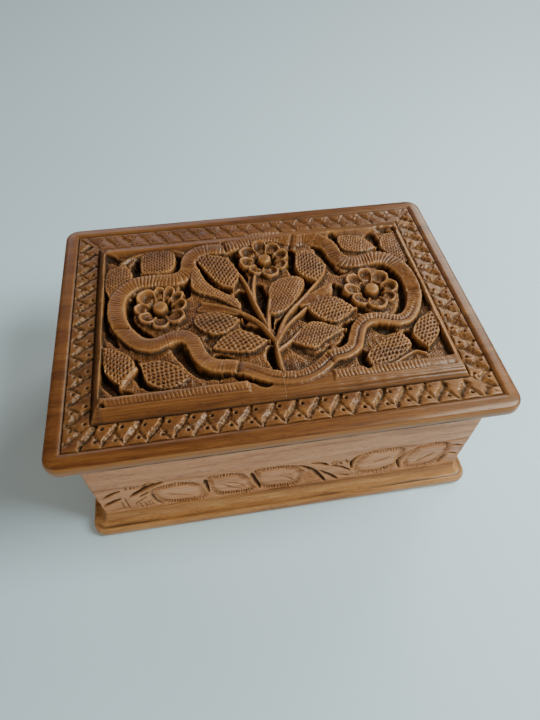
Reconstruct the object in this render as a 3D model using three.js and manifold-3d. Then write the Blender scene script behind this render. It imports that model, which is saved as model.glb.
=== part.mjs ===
// Carved wooden box with a hinged lid: a moulded base board, four mitred walls, a lid board carved in
// relief, two brass butt hinges let into the back, and the screws that hold it together.
// Millimetres, +Z up. The origin is the centre of the base's underside, and -Y is the front.
import * as THREE from "three";
import { mergeVertices } from "three/addons/utils/BufferGeometryUtils.js";
import Module from "manifold-3d";

// Driving dimensions, in millimetres
const BODY_LENGTH = 137.4; // outside the walls, along X
const BODY_DEPTH = 98.4; // outside the walls, along Y
const WALL_HEIGHT = 44.9;
const WALL_THICKNESS = 8;

const BASE_HEIGHT = 10.3;
const BASE_SIDE_PROJECTION = 6.1; // past the left and right walls
const BASE_FRONT_PROJECTION = 4.8; // past the front and back walls
const BASE_BEAD_HEIGHT = 5; // the rounded lower edge
const BASE_CREASE = 1.4; // how far the crease above the bead is set in
const BASE_CORNER_RADIUS = 5;

const LID_SIDE_OVERHANG = 7.5;
const LID_FRONT_OVERHANG = 6.15;
const LID_EDGE_THICKNESS = 5.6;
const LID_EDGE_ROUND = 2;
const LID_CORNER_RADIUS = 5.5;
const LID_MARGIN = 5.7; // plain margin outside the outer scored line
const LID_BAND = 8.3; // chip-carved band between the scored lines
const SCORE_WIDTH = 0.8;
const SCORE_DEPTH = 0.6;
const SHARP_CORNER = 0.4; // corner radius of the scored lines and the panel

const PANEL_RISE = 2.8; // the carved panel stands above the band
const PANEL_SIDE_BEVEL = 1.7;
const PANEL_FRONT_BEVEL = 4;
const PANEL_SIDE_FRAME = 1.3; // uncut wood left along the panel's sides
const PANEL_BACK_FRAME = 1.2;
const ROPE_WIDTH = 3.6; // notched strip along the panel's front
const ROPE_GAP = [-11, 16]; // where the ribbon takes the place of the notched strip, as drawn
const ROPE_GAP_DEPTH = 0.75;
const CARVING_DEPTH = 2.1; // from the panel's top to its ground
const PIT_DEPTH = 2.7; // the deepest pits beside the motifs, from the ground
const DRAWN_PANEL_LENGTH = 120.2; // the panel that the motifs below are drawn for; they stretch with it
const DRAWN_PANEL_DEPTH = 73.9;
const RIBBON_WIDTH = 5.5;
const RIBBON_DROP = 0.3; // the ribbon's top lies this far below the panel's top
const LEAF_DROP = 0.6;
const STEM_WIDTH = 1.7;
const STEM_DROP = 0.6;
const RIDGE_DROP = 1.2;

const FLOWER_DROP = 0.6; // petals lie this far below the panel's top
const FLOWER_BUTTON_RADIUS = 2.6;
const FLOWER_BUTTON_DROP = 0.3;
const FLOWER_BUTTON_ROUND = 0.6; // how far the button's edge lies below its top
const FLOWER_RING_WIDTH = 1.7; // the ring cut round the button
const FLOWER_RING_DEPTH = 2.4;
const FLOWER_PIT_RADIUS = 4.6; // the ground is sunk under a flower's middle
const PETAL_OVERLAP = 0.7;
const PETAL_SWELL = 0.25; // how much wider a petal's outer half is, as a share
const PETAL_SCOOP_DEPTH = 1.5;
const PETAL_SCOOP_RIM = 0.84; // the scoop's share of the petal's size, at its rim and at its floor
const PETAL_SCOOP_FLOOR = 0.45;

const CHIP_PITCH = 6.75;
const CHIP_START = 2.6; // the first line of a repeat begins this far before its middle
const BROAD_CHIP_WIDTH = 2.3;
const BROAD_CHIP_DEPTH = 1;
const THIN_CHIP_WIDTH = 1.1;
const THIN_CHIP_DEPTH = 0.7;
const DRAWN_BAND = 9.1; // the band that the chips below are drawn for, with half of each scored line

const HINGE_LENGTH = 22;
const HINGE_INSET = 23.7; // from the body's end to the middle of the nearest hinge
const HINGE_BARREL_RADIUS = 1.6;
const HINGE_LEAF_THICKNESS = 1.1;
const HINGE_LEAF_WIDTH = 6.4;
const HINGE_LEAF_SINK = 0.2; // each leaf lies this far below the face it is let into
const HINGE_MIDDLE_KNUCKLE = 7.8;
const HINGE_STANDOFF = 0.1; // barrel clear of the back wall
const HINGE_SCREW_INSET = 4.5; // from a leaf's end to its nearest screw
const PIN_RADIUS = 0.7;
const PIN_OVERRUN = 0.2; // the pin stands out of the barrel at each end

const RUNNING_CLEARANCE = 0.06; // round the pin, in its knuckles
const KNUCKLE_GAP = 0.1;
const BARREL_CLEARANCE = 0.35; // groove in the lid, round the barrel
const SCREW_CLEARANCE = 0.3; // pilot hole, round a screw
const HEAD_CLEARANCE = 0.05; // countersink, round a screw's head

const WALL_HINGE_SCREW = { shank: 0.8, head: 1.6, headHeight: 0.8, length: 8.5 };
const LID_HINGE_SCREW = { shank: 0.8, head: 1.6, headHeight: 0.8, length: 3.6 };
const BASE_SCREW = { shank: 1.3, head: 2.7, headHeight: 1.5, length: 20 };
const SCREW_POINT = 2; // how long a screw's point is, in shank radii
const BASE_SCREW_SINK = 0.4; // heads lie this far above the underside
const BASE_SCREW_INSET = 18.7; // from the body's end to the nearest screw of a long wall

// How finely round things are cut
const ROUND_STEPS = 12;
const CORNER_STEPS = 4;
const EDGE_STEPS = 3;
const BEAD_STEPS = 6;
const COVE_STEPS = 4;
const LEAF_STEPS = 2; // for each of its points
const STEM_STEPS = 6;
const PETAL_STEPS = 8;
const RIBBON_STEPS = 104;
const GOUGE_STEPS = 5;
const BROAD_CHIP_STEPS = 3;
const THIN_CHIP_STEPS = 2;
const GROOVE_ENDS = 0.25; // a groove's width next to its pointed ends, as a share of its width in the middle
const OVERCUT = 1; // how far a cutter runs past what it cuts

// Places worked out from the driving dimensions
const wallTop = BASE_HEIGHT + WALL_HEIGHT;
const rimTop = wallTop + LID_EDGE_THICKNESS;
const panelTop = rimTop + PANEL_RISE;
const ground = panelTop - CARVING_DEPTH;
const motifFoot = ground - PIT_DEPTH - OVERCUT; // motifs are rooted below the deepest pits
const bodyHalf = { x: BODY_LENGTH / 2, y: BODY_DEPTH / 2 };
const baseHalf = setIn(bodyHalf, -BASE_SIDE_PROJECTION, -BASE_FRONT_PROJECTION);
const lidHalf = setIn(bodyHalf, -LID_SIDE_OVERHANG, -LID_FRONT_OVERHANG);
const bandHalf = setIn(lidHalf, LID_MARGIN, LID_MARGIN);
const fieldHalf = setIn(bandHalf, LID_BAND, LID_BAND);
const panelHalf = setIn(fieldHalf, SCORE_WIDTH / 2 + PANEL_SIDE_BEVEL, SCORE_WIDTH / 2 + PANEL_FRONT_BEVEL);
const hingeY = bodyHalf.y + HINGE_STANDOFF + HINGE_BARREL_RADIUS;
const leafOuterY = bodyHalf.y - HINGE_LEAF_SINK;
const leafInnerY = leafOuterY - HINGE_LEAF_WIDTH;
const leafDepth = HINGE_LEAF_SINK + HINGE_LEAF_THICKNESS;
const hingeXs = [-1, 1].map((side) => side * (bodyHalf.x - HINGE_INSET));
const wallMiddle = WALL_THICKNESS / 2;
const stretch = { x: panelHalf.x / (DRAWN_PANEL_LENGTH / 2), y: panelHalf.y / (DRAWN_PANEL_DEPTH / 2) };

const wood = (color) => new THREE.MeshStandardMaterial({ color, roughness: 0.5, metalness: 0 });
const metal = (color) => new THREE.MeshStandardMaterial({ color, roughness: 0.35, metalness: 1 });
const lidWood = wood("#7d5331");
const wallWood = wood("#a5805f");
const baseWood = wood("#94704e");
const brass = metal("#b08d45");
const steel = metal("#8d8a84");

// The lid's motifs, seen from above, from the lid's middle, as drawn for a panel of the size named above

// Serpentine ribbon, anticlockwise from the middle of the front.
const RIBBON = [
  [3, -34.2], [8.5, -33.5], [13.5, -31], [18, -27.4], [22.5, -26.6], [26.3, -24.4], [28.2, -20.5],
  [30.2, -16.4], [33.5, -13.6], [37.5, -12.8], [41.5, -14], [45.5, -15.1], [49.3, -13.6], [52, -10.2],
  [54.2, -6], [55.6, -1], [55.9, 4.5], [55.2, 9.5], [53.3, 14], [50, 17.4], [45.8, 18.6], [41, 17.6],
  [36.8, 17], [33.3, 18.4], [31, 21.6], [30.2, 25.8], [28.6, 30], [25, 32.8], [20, 33.6], [15, 33.8],
  [10, 36], [4, 36.6], [-2, 35.8], [-8, 33.5], [-13.5, 32.2], [-19, 32.5], [-24, 30.8], [-26.9, 27],
  [-27.6, 22.2], [-30.2, 18.6], [-35, 17.4], [-41, 18], [-47, 17.2], [-51.6, 14], [-54, 9.2],
  [-54.4, 3.8], [-53.4, -1.6], [-50.8, -7], [-47, -11.6], [-42.4, -13.6], [-38, -12.4], [-34.4, -10.9],
  [-31, -11.3], [-28.2, -14], [-26.9, -18.4], [-25, -22.6], [-21.4, -25.4], [-17, -26.3],
  [-12.5, -27.8], [-8, -30.4], [-3, -33],
];

// For each petal: the angle that it takes up, in degrees, and how far it reaches. The first begins at start.
const FLOWERS = [
  {
    at: [-38.8, 4.2],
    start: -21,
    petals: [
      [42, 9.7], [28, 10.2], [28, 10], [28, 9.8], [54, 10.4], [44, 9.2], [46, 9.4], [42, 10.6], [48, 11],
    ],
  },
  {
    at: [2.6, 24.2],
    start: -12,
    petals: [[44, 9.6], [44, 9.8], [44, 10.6], [48, 10.8], [44, 10.2], [44, 9.6], [46, 11], [46, 9.6]],
  },
  {
    at: [40.2, 2],
    start: -22,
    petals: [[48, 9.8], [50, 10.2], [40, 10.4], [42, 10.8], [38, 11], [48, 10.4], [52, 10.8], [42, 9.8]],
  },
];

// Leaves inside the ribbon, then the ones in the panel's corners.
const LEAVES = [
  [[-21.8, 27.5], [-14, 28], [-10.5, 23], [-8.4, 16], [-10.5, 10.8], [-16, 10.6], [-19.5, 16]],
  [[-24.6, 24], [-26.8, 15.5], [-25.5, 10], [-18, 5.6], [-10.6, -0.8], [-10.4, 3.4], [-16, 8.4], [-21, 14.2]],
  [[-25.5, 0.5], [-22.5, 3.2], [-16.5, 1.2], [-10.5, -3.4], [-16.5, -1.8]],
  [[-27, -4], [-24.5, -1.6], [-18, -1.8], [-11.2, -6.2], [-15.5, -11], [-21, -11.7], [-25.8, -8]],
  [[-22, -17], [-17, -12.8], [-11, -11.2], [-2.6, -17.6], [-8.5, -21.3], [-15.5, -20.2]],
  [[2.2, 8.5], [7, 11.8], [13, 12.2], [15.4, 8.6], [11, 0.8], [5.6, -4.4], [0.2, -5], [1, 2]],
  [[16.8, 25.8], [22, 24.4], [25.2, 17.5], [23.2, 11.6], [19.6, 9.2], [14.8, 13.6], [14.2, 20]],
  [[11.5, -2.6], [16, 2.2], [25.6, 7.2], [24, 0.6], [16.5, -2.4]],
  [[14.2, -4], [19.5, -0.4], [25.5, -0.8], [31, -7], [25, -11.5], [21, -12], [16.2, -8.6]],
  [[5, -18.5], [10, -13.6], [15.6, -11.2], [24.6, -16.2], [17.5, -20], [12.5, -22.8]],
  [[-57.6, 26.5], [-53.4, 28.4], [-49.4, 23.5], [-51, 16.8], [-56, 11.6], [-58.8, 18]],
  [[-44.4, 31.8], [-38, 34.8], [-32.4, 32.6], [-33, 24.4], [-39, 21.8], [-45.4, 23.4]],
  [[34.6, 31.6], [39.5, 33], [45, 30], [47.6, 24.4], [41, 24], [35.2, 26]],
  [[50.6, 27], [54.6, 32], [59, 30.4], [59.4, 19.5], [57.4, 14.6], [52, 20]],
  [[-58.6, -12.2], [-53.5, -14.4], [-48.2, -21], [-52.4, -28.4], [-57.4, -22.6]],
  [[-46, -21.6], [-39.5, -20.6], [-33.5, -24.4], [-30.6, -29.4], [-37, -32], [-43.6, -28.6]],
  [[30, -28.6], [35, -24.6], [43.4, -20.6], [46, -26.8], [38.5, -31.6], [30.6, -33.4]],
  [[48.4, -21.6], [52.6, -15.6], [58.2, -13.4], [58, -22.4], [51.4, -28.6]],
];

const STEMS = [
  [[0.4, -31.5], [0, -24], [0.3, -17]],
  [[0.3, -18], [-4.5, -8.5], [-13, -0.8], [-23.5, 3.6]],
  [[-1.5, -12.5], [-4.3, 0], [-6.8, 12], [-12.2, 26]],
  [[-4.6, 3], [-4, 9], [-2.6, 15]],
  [[-1.6, -12], [-0.6, -6], [1.2, 2]],
  [[0.4, -18], [6, -7], [15, 2.3], [23, 11.4], [25.4, 17]],
  [[0.4, -19], [5, -12], [13.5, -4.4]],
  [[0.4, -22], [4.6, -19.2], [9, -15]],
];

// Smooth ridges left standing near the panel's back and beside its corner leaves.
const RIDGES = [
  [[-53, 29.6], [-49, 32.6], [-43, 34.6]],
  [[-33.4, 34.8], [-29, 32.8]],
  [[56.4, 34.8], [58, 33]],
  [[30.6, -34.4], [38, -33], [46, -29.4], [50, -30.6]],
  [[-48, -22.4], [-52.6, -29.4]],
];

// Pits cut down beside the motifs, each as [share of the pits' depth, outline].
const PITS = [
  [0.96, [[-47, 13.4], [-50.8, 8], [-51.2, 2], [-50, -4], [-46, -8.8], [-41, -10.8], [-42, -8],
    [-45.4, -5], [-48.2, 0], [-48.4, 5], [-46.5, 9.5]]],
  [0.41, [[-41, -10.8], [-35, -10], [-29.5, -7], [-29, -5], [-36, -8.4]]],
  [0.96, [[-31, 16], [-28, 17.4], [-27.2, 12], [-28.5, 8], [-30.2, 8.5], [-31, 12]]],
  [1, [[-25, 27.5], [-22, 27], [-20.5, 19], [-17, 12], [-12.5, 9], [-15, 8], [-19, 12], [-22.8, 18],
    [-25, 23]]],
  [1, [[-11.5, 30.4], [-7.5, 28.5], [-6.5, 22], [-5.4, 16], [-6.6, 11], [-8.6, 16], [-8.6, 21],
    [-10.5, 26]]],
  [1, [[-11, 8], [-7.5, 8.5], [-5.2, 2], [-3, -6], [-1.6, -12], [-4.5, -7.5], [-8.5, -2.5], [-10.6, 2]]],
  [1, [[-3.2, 11], [-0.2, 11], [0.8, 4], [1.2, -5], [0.2, -11], [-1.4, -5], [-3.4, 2]]],
  [0.85, [[-10.6, -7.4], [-5.5, -10], [-1.6, -14.5], [-0.6, -18], [-2.6, -17.8], [-6, -14], [-10.4, -10.6]]],
  [1, [[-3.4, -20.5], [-1.2, -19.2], [0, -24], [-0.2, -31.4], [-2.4, -28.5], [-3.8, -24.5]]],
  [0.89, [[-36.5, -13.8], [-32.5, -13.2], [-29, -22], [-25.5, -26.4], [-15.5, -28.8], [-18, -30.2],
    [-25, -29.8], [-30.2, -26.2], [-33.2, -21], [-35.4, -16.5]]],
  [0.89, [[-21.4, -20], [-17, -21], [-14.2, -23.8], [-17, -25], [-20.5, -23.4]]],
  [0.78, [[-15.4, -27.6], [-12, -30.2], [-7, -33.6], [-4, -35.6], [-5.6, -36.6], [-8, -35.8],
    [-11.4, -33.6], [-15.8, -30.4]]],
  [0.81, [[-58.8, -19], [-57, -24], [-53.4, -28.6], [-48.4, -31.8], [-51, -33], [-56, -30.6], [-58.8, -26]]],
  [0.78, [[-49.4, -18.6], [-46.6, -19], [-45.4, -24], [-42, -29.4], [-44.6, -31], [-48.4, -26]]],
  [0.7, [[-58.8, 24], [-57.8, 24], [-57.6, 15], [-56.2, 10.5], [-57.2, 5], [-57, -3], [-54.6, -7.5],
    [-53.6, -12], [-56.2, -9.5], [-58.8, -3]]],
  [0.56, [[-58.8, 35.4], [-55.6, 34.4], [-51.6, 30.4], [-53.6, 29.2], [-56.4, 31], [-58.8, 32.6]]],
  [0.78, [[-49, 29.4], [-46.2, 31.4], [-45.6, 23], [-47.5, 20.6], [-49.4, 24]]],
  [0.93, [[-32.6, 31.6], [-29.6, 30.4], [-30.2, 24.6], [-33.4, 20.4], [-39, 19.8], [-36, 22.6],
    [-33.2, 24]]],
  [1, [[12, 29.4], [15.4, 27.6], [15, 22], [14.6, 16], [19.4, 9], [13.6, 10.8], [11.2, 16], [10.8, 22]]],
  [1, [[15.5, 13], [19.8, 9.5], [16, 4.2], [11, -1.2], [6.4, -6.2], [3, -11.8], [0.8, -14], [1.4, -9],
    [5.4, -5.6], [11, 0.4], [14.8, 6]]],
  [1, [[20.4, 32], [26, 29], [28.6, 20], [31.6, 14], [34.5, 13.8], [30, 12], [26.2, 15.6], [24.2, 22],
    [23.4, 28]]],
  [1, [[43, 15], [48, 15.6], [51.4, 11], [53.2, 6], [53.4, 0], [51.4, -5.6], [48.4, -10.6], [43, -13],
    [46.6, -9], [49.2, -4], [50, 2], [48.8, 8], [46, 12.4]]],
  [0.85, [[24.8, 8], [29, 5.6], [30.4, 0], [34.6, -6], [38.5, -11], [34, -9.8], [29, -4.4], [25.2, 0.6]]],
  [0.85, [[7.4, -4.4], [12.6, -3], [14.6, -7], [18, -10.4], [22.4, -12.2], [16.6, -12], [13, -10.4],
    [10.2, -7.8]]],
  [0.93, [[25, -13], [30.4, -11.8], [28.6, -16.4], [26.4, -21], [23.2, -24], [20.8, -22.2], [24.6, -18]]],
  [0.85, [[35.5, -15.2], [39.8, -14.8], [43, -18.8], [38.8, -20], [36, -18]]],
  [0.93, [[45.6, -19.6], [48.4, -20.6], [49.8, -26], [51.8, -29.6], [47.6, -28.8], [45.2, -24.4]]],
  [0.85, [[27.4, -25.8], [30.4, -26.6], [30, -33], [28, -34.2], [26.4, -30]]],
  [0.78, [[30.8, 35.2], [34.6, 33.6], [34.2, 26], [31.6, 25.2], [31.4, 29]]],
  [0.85, [[45.2, 31.8], [49.6, 34], [51, 27], [48, 22.2], [47, 26]]],
  [0.41, [[50.6, 35.8], [58.6, 35], [58.8, 32], [55, 33.2]]],
  [0.56, [[57.6, 15], [58.8, 14], [58.8, -5], [57.4, -4], [58.2, 4]]],
  [0.48, [[3.4, -19], [8.6, -21.6], [13, -24.4], [18.4, -22], [16, -25.4], [9.6, -26.6]]],
  [0.56, [[-17.4, -1.6], [-11, -3.8], [-7.6, -6.2], [-10.6, -7.8], [-15, -3.2]]],
  [0.33, [[-23.4, -11.2], [-17, -12.6], [-20.6, -16], [-24, -14.6]]],
];

// One repeat of the lid's band: places along it, and in from its outer scored line.
const BROAD_CHIP = [[0, 0.5], [0.9, 2.6], [3, 4.9], [4.2, 7], [4.9, 8.7]];
const THIN_CHIP = [[3.6, 5.4], [5.2, 3.1], [6.7, 0.9]];

// Gouges of a wall's carved band, each along a line of points measured from the wall's middle and its foot. A
// short wall has the ones that fit on it.
const WALL_GOUGES = [
  { line: [[-67, 13.2], [-63, 16.2], [-60.2, 17.6]], width: 1.7, depth: 1.1 },
  { line: [[-68.4, 6.3], [-64.4, 9.4], [-61, 11.4]], width: 2, depth: 1.3 },
  { line: [[-57.8, 11.8], [-53, 15.6], [-45, 20.2]], width: 2.4, depth: 1.6 },
  { line: [[-53, 17], [-50.6, 19.4], [-48, 19.8]], width: 2.6, depth: 1.3 },
  { line: [[-54.6, 10.6], [-50.6, 13.4]], width: 1.5, depth: 0.9 },
  { line: [[-50.6, 11], [-49.6, 5], [-47.4, 1.6]], width: 1.8, depth: 0.9 },
  { line: [[-46.4, 15.8], [-42, 16.9], [-38.6, 17]], width: 1.7, depth: 1.3 },
  { line: [[-30.6, 16.4], [-30.4, 11], [-29.8, 5.4]], width: 1.8, depth: 2 },
  { line: [[-13.6, 16.6], [-12.2, 9.6], [-10.2, 2.6]], width: 2.1, depth: 2.1 },
  { line: [[1.6, 18.2], [6, 15.6], [10, 11.2], [13, 5.6], [15.4, 0.8]], width: 2.4, depth: 1.5 },
  { line: [[9, 17.4], [13, 15.8], [15.6, 13.6]], width: 2.2, depth: 1.1 },
  { line: [[12.4, 10.6], [16, 6.4], [20.4, 1]], width: 2.2, depth: 1.1 },
  { line: [[17, 13.4], [21, 10.6], [24.8, 7]], width: 1.9, depth: 0.9 },
  { line: [[19.4, 5], [25, 2.2]], width: 1.6, depth: 0.8 },
  { line: [[21.6, 16.6], [23.4, 13.4]], width: 2, depth: 0.7 },
  { line: [[32.6, 20], [28.6, 18.8], [25.4, 14.8], [25.4, 8]], width: 2.6, depth: 2.2 },
  { line: [[52, 19.4], [48.4, 17.6], [46.2, 13.6], [44.4, 8.6], [45.6, 2.4]], width: 2.3, depth: 2.2 },
  { line: [[57.8, 12], [54.4, 8.6], [51.4, 6]], width: 1.5, depth: 0.7 },
  { line: [[63.4, 9], [63, 6], [61.6, 2.4]], width: 2, depth: 1.6 },
  { line: [[63.4, 16.6], [68, 14.8]], width: 1.4, depth: 0.8 },
  { line: [[63.4, 10], [68, 8]], width: 1.4, depth: 0.8 },
];

const wasm = await Module();
wasm.setup();

// A half size made smaller by dx and dy.
function setIn(half, dx, dy) {
  return { x: half.x - dx, y: half.y - dy };
}

// A closed geometry as a solid that can be joined and cut.
function solid(geometry) {
  const bare = geometry.clone();
  bare.deleteAttribute("normal");
  bare.deleteAttribute("uv");
  const merged = mergeVertices(bare, 1e-4);
  const vertProperties = new Float32Array(merged.attributes.position.array);
  const triVerts = new Uint32Array(merged.index.array);
  return new wasm.Manifold(new wasm.Mesh({ numProp: 3, vertProperties, triVerts }));
}

const cut = (stock, ...cutters) => cutters.reduce((left, cutter) => left.subtract(cutter), stock);
const join = (...pieces) => pieces.reduce((all, piece) => all.add(piece));

// A solid as a named mesh.
function piece(name, made, material) {
  const { vertProperties, triVerts } = made.getMesh();
  const geometry = new THREE.BufferGeometry();
  geometry.setAttribute("position", new THREE.BufferAttribute(new Float32Array(vertProperties), 3));
  geometry.setIndex(new THREE.BufferAttribute(new Uint32Array(triVerts), 1));
  geometry.computeVertexNormals();
  const mesh = new THREE.Mesh(geometry, material.clone());
  mesh.name = name;
  return mesh;
}

// A box between its lowest and highest corners.
function block(low, high) {
  const size = high.map((value, axis) => value - low[axis]);
  const middle = high.map((value, axis) => (value + low[axis]) / 2);
  return solid(new THREE.BoxGeometry(...size).translate(...middle));
}

// A flat outline made into a prism from z0 to z1.
function prism(shape, z0, z1) {
  const depth = z1 - z0;
  return new THREE.ExtrudeGeometry(shape, { depth, bevelEnabled: false, steps: 1 }).translate(0, 0, z0);
}

// A round piece whose profile, a list of [radius, height], stands up from z0, or hangs down from it.
function turned(profile, [x, y], z0, upward = true) {
  const points = profile.map(([radius, height]) => new THREE.Vector2(radius, height));
  const lathed = new THREE.LatheGeometry(points, ROUND_STEPS).rotateX((upward ? 1 : -1) * (Math.PI / 2));
  return solid(lathed.translate(x, y, z0));
}

// A rod along X.
function rod(x0, x1, y, z, radius) {
  const geometry = new THREE.CylinderGeometry(radius, radius, x1 - x0, ROUND_STEPS);
  return solid(geometry.rotateZ(Math.PI / 2).translate((x0 + x1) / 2, y, z));
}

// The points of a rounded rectangle, anticlockwise.
function roundedRectangle(half, radius) {
  const corners = [[1, 1], [-1, 1], [-1, -1], [1, -1]];
  return corners.flatMap(([sideX, sideY], quarter) =>
    Array.from({ length: CORNER_STEPS + 1 }, (_, i) => {
      const angle = (quarter + i / CORNER_STEPS) * (Math.PI / 2);
      return [
        sideX * (half.x - radius) + radius * Math.cos(angle),
        sideY * (half.y - radius) + radius * Math.sin(angle),
      ];
    }),
  );
}

// A board whose edge is a stack of rounded rectangles { half, z, radius }, from the underside up.
function board(rings) {
  const outlines = rings.map((ring) => roundedRectangle(ring.half, ring.radius));
  const count = outlines[0].length;
  const positions = outlines.flatMap((outline, level) => outline.flatMap(([x, y]) => [x, y, rings[level].z]));
  positions.push(0, 0, rings[0].z, 0, 0, rings[rings.length - 1].z);
  const bottom = rings.length * count;
  const top = bottom + 1;
  const highest = (rings.length - 1) * count;
  const index = [];
  for (let i = 0; i < count; i++) {
    const next = (i + 1) % count;
    index.push(bottom, next, i);
    index.push(top, highest + i, highest + next);
    for (let low = 0; low < highest; low += count) {
      index.push(low + i, low + next, low + count + next);
      index.push(low + i, low + count + next, low + count + i);
    }
  }
  const geometry = new THREE.BufferGeometry();
  geometry.setAttribute("position", new THREE.Float32BufferAttribute(positions, 3));
  geometry.setIndex(index);
  return solid(geometry);
}

// A drawn point of the carving at its place on the panel.
const onPanel = ([x, y]) => [x * stretch.x, y * stretch.y];

// A smooth line through a few drawn points.
function smoothLine(points, closed) {
  const corners = points.map((point) => new THREE.Vector3(...onPanel(point), 0));
  return new THREE.CatmullRomCurve3(corners, closed, "centripetal");
}

function leafOutline(points) {
  const around = smoothLine(points, true).getPoints(points.length * LEAF_STEPS);
  return new THREE.Shape(around.slice(0, -1).map((p) => new THREE.Vector2(p.x, p.y)));
}

// The left and right sides of a strip along a smooth line.
function stripSides(points, width, closed, steps) {
  const line = smoothLine(points, closed);
  const stations = Array.from({ length: closed ? steps : steps + 1 }, (_, i) => i / steps);
  return [1, -1].map((side) =>
    stations.map((station) => {
      const p = line.getPoint(station);
      const along = line.getTangent(station);
      const off = (side * width) / 2;
      return new THREE.Vector2(p.x - along.y * off, p.y + along.x * off);
    }),
  );
}

function stemOutline(points) {
  const [left, right] = stripSides(points, STEM_WIDTH, false, STEM_STEPS);
  return new THREE.Shape([...right, ...left.reverse()]);
}

// The ribbon runs anticlockwise, so its right side is the outer one.
function ribbonOutline() {
  const [inner, outer] = stripSides(RIBBON, RIBBON_WIDTH, true, RIBBON_STEPS);
  const shape = new THREE.Shape(outer);
  shape.holes.push(new THREE.Path(inner));
  return shape;
}

// A cutter for a pointed groove along a few points of a face at height z, widest and deepest in its middle.
function groove(points, width, depth, z, steps) {
  const corners = points.map(([x, y]) => new THREE.Vector3(x, y, z));
  const line = new THREE.CatmullRomCurve3(corners, false, "centripetal");
  const positions = [];
  for (let i = 1; i < steps; i++) {
    const station = i / steps;
    const swell = GROOVE_ENDS + (1 - GROOVE_ENDS) * Math.sin(Math.PI * station);
    const p = line.getPoint(station);
    const along = line.getTangent(station);
    const off = (width / 2) * swell * (1 + OVERCUT / (depth * swell));
    positions.push(p.x + along.y * off, p.y - along.x * off, z + OVERCUT);
    positions.push(p.x, p.y, z - depth * swell);
    positions.push(p.x - along.y * off, p.y + along.x * off, z + OVERCUT);
  }
  const first = positions.length / 3;
  const last = first + 1;
  positions.push(...line.getPoint(0).setZ(z + OVERCUT), ...line.getPoint(1).setZ(z + OVERCUT));
  const index = [];
  for (let side = 0; side < 3; side++) {
    const next = (side + 1) % 3;
    index.push(first, next, side);
    for (let low = 0; low < first - 3; low += 3) {
      index.push(low + side, low + next, low + 3 + next);
      index.push(low + side, low + 3 + next, low + 3 + side);
    }
    index.push(last, first - 3 + side, first - 3 + next);
  }
  const geometry = new THREE.BufferGeometry();
  geometry.setAttribute("position", new THREE.Float32BufferAttribute(positions, 3));
  geometry.setIndex(index);
  return geometry;
}

// A countersunk screw. Its head's flat face is at z0, and its point is up or down.
function screw({ shank, head, headHeight, length }, at, z0, upward = true) {
  const shoulder = length - SCREW_POINT * shank;
  const profile = [[0, 0], [head, 0], [shank, headHeight], [shank, shoulder], [0, length]];
  return turned(profile, at, z0, upward);
}

// The hole for a screw: a countersink that opens at the head's face, and a pilot hole.
function screwHole({ shank, head, headHeight, length }, at, z0, upward = true) {
  const mouth = head + HEAD_CLEARANCE;
  const pilot = shank + SCREW_CLEARANCE;
  const sinkEnd = headHeight * (1 - SCREW_CLEARANCE / (head - shank));
  const end = length + SCREW_CLEARANCE;
  const profile = [[0, -OVERCUT], [mouth, -OVERCUT], [mouth, 0], [pilot, sinkEnd], [pilot, end], [0, end]];
  return turned(profile, at, z0, upward);
}

// Where the base's screws stand: in the middle of each wall's thickness.
const baseScrewPlaces = [
  ...[-1, 1].flatMap((sideY) =>
    [-1, 1].map((sideX) => [sideX * (bodyHalf.x - BASE_SCREW_INSET), sideY * (bodyHalf.y - wallMiddle)]),
  ),
  ...[-1, 1].map((sideX) => [sideX * (bodyHalf.x - wallMiddle), 0]),
];

function makeBase() {
  const beadRadius = BASE_BEAD_HEIGHT / 2;
  const bead = Array.from({ length: BEAD_STEPS + 1 }, (_, i) => {
    const angle = (i / BEAD_STEPS - 1 / 2) * Math.PI;
    const inset = BASE_CREASE * (1 - Math.cos(angle));
    const z = beadRadius * (1 + Math.sin(angle));
    return { half: setIn(baseHalf, inset, inset), z, radius: BASE_CORNER_RADIUS - inset };
  });
  const cove = Array.from({ length: COVE_STEPS }, (_, i) => {
    const angle = ((i + 1) / COVE_STEPS) * (Math.PI / 2);
    const inward = Math.sin(angle);
    const upward = 1 - Math.cos(angle);
    const dx = BASE_CREASE + (BASE_SIDE_PROJECTION - BASE_CREASE) * inward;
    const dy = BASE_CREASE + (BASE_FRONT_PROJECTION - BASE_CREASE) * inward;
    return {
      half: setIn(baseHalf, dx, dy),
      z: BASE_BEAD_HEIGHT + (BASE_HEIGHT - BASE_BEAD_HEIGHT) * upward,
      radius: SHARP_CORNER + (BASE_CORNER_RADIUS - BASE_CREASE - SHARP_CORNER) * (1 - inward),
    };
  });
  const holes = baseScrewPlaces.map((at) => screwHole(BASE_SCREW, at, BASE_SCREW_SINK));
  return cut(board([...bead, ...cove]), ...holes);
}

// The gouges of one wall's band, cut into its outer face. The wall is turned by angle from the front.
function wallGouges(halfLength, halfOut, angle) {
  const onWall = WALL_GOUGES.filter(({ line }) => line.every(([x]) => Math.abs(x) < halfLength));
  return onWall.map(({ line, width, depth }) => {
    const lying = groove(line, width, depth, halfOut, GOUGE_STEPS);
    return solid(lying.rotateX(Math.PI / 2).rotateZ(angle).translate(0, 0, BASE_HEIGHT));
  });
}

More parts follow.
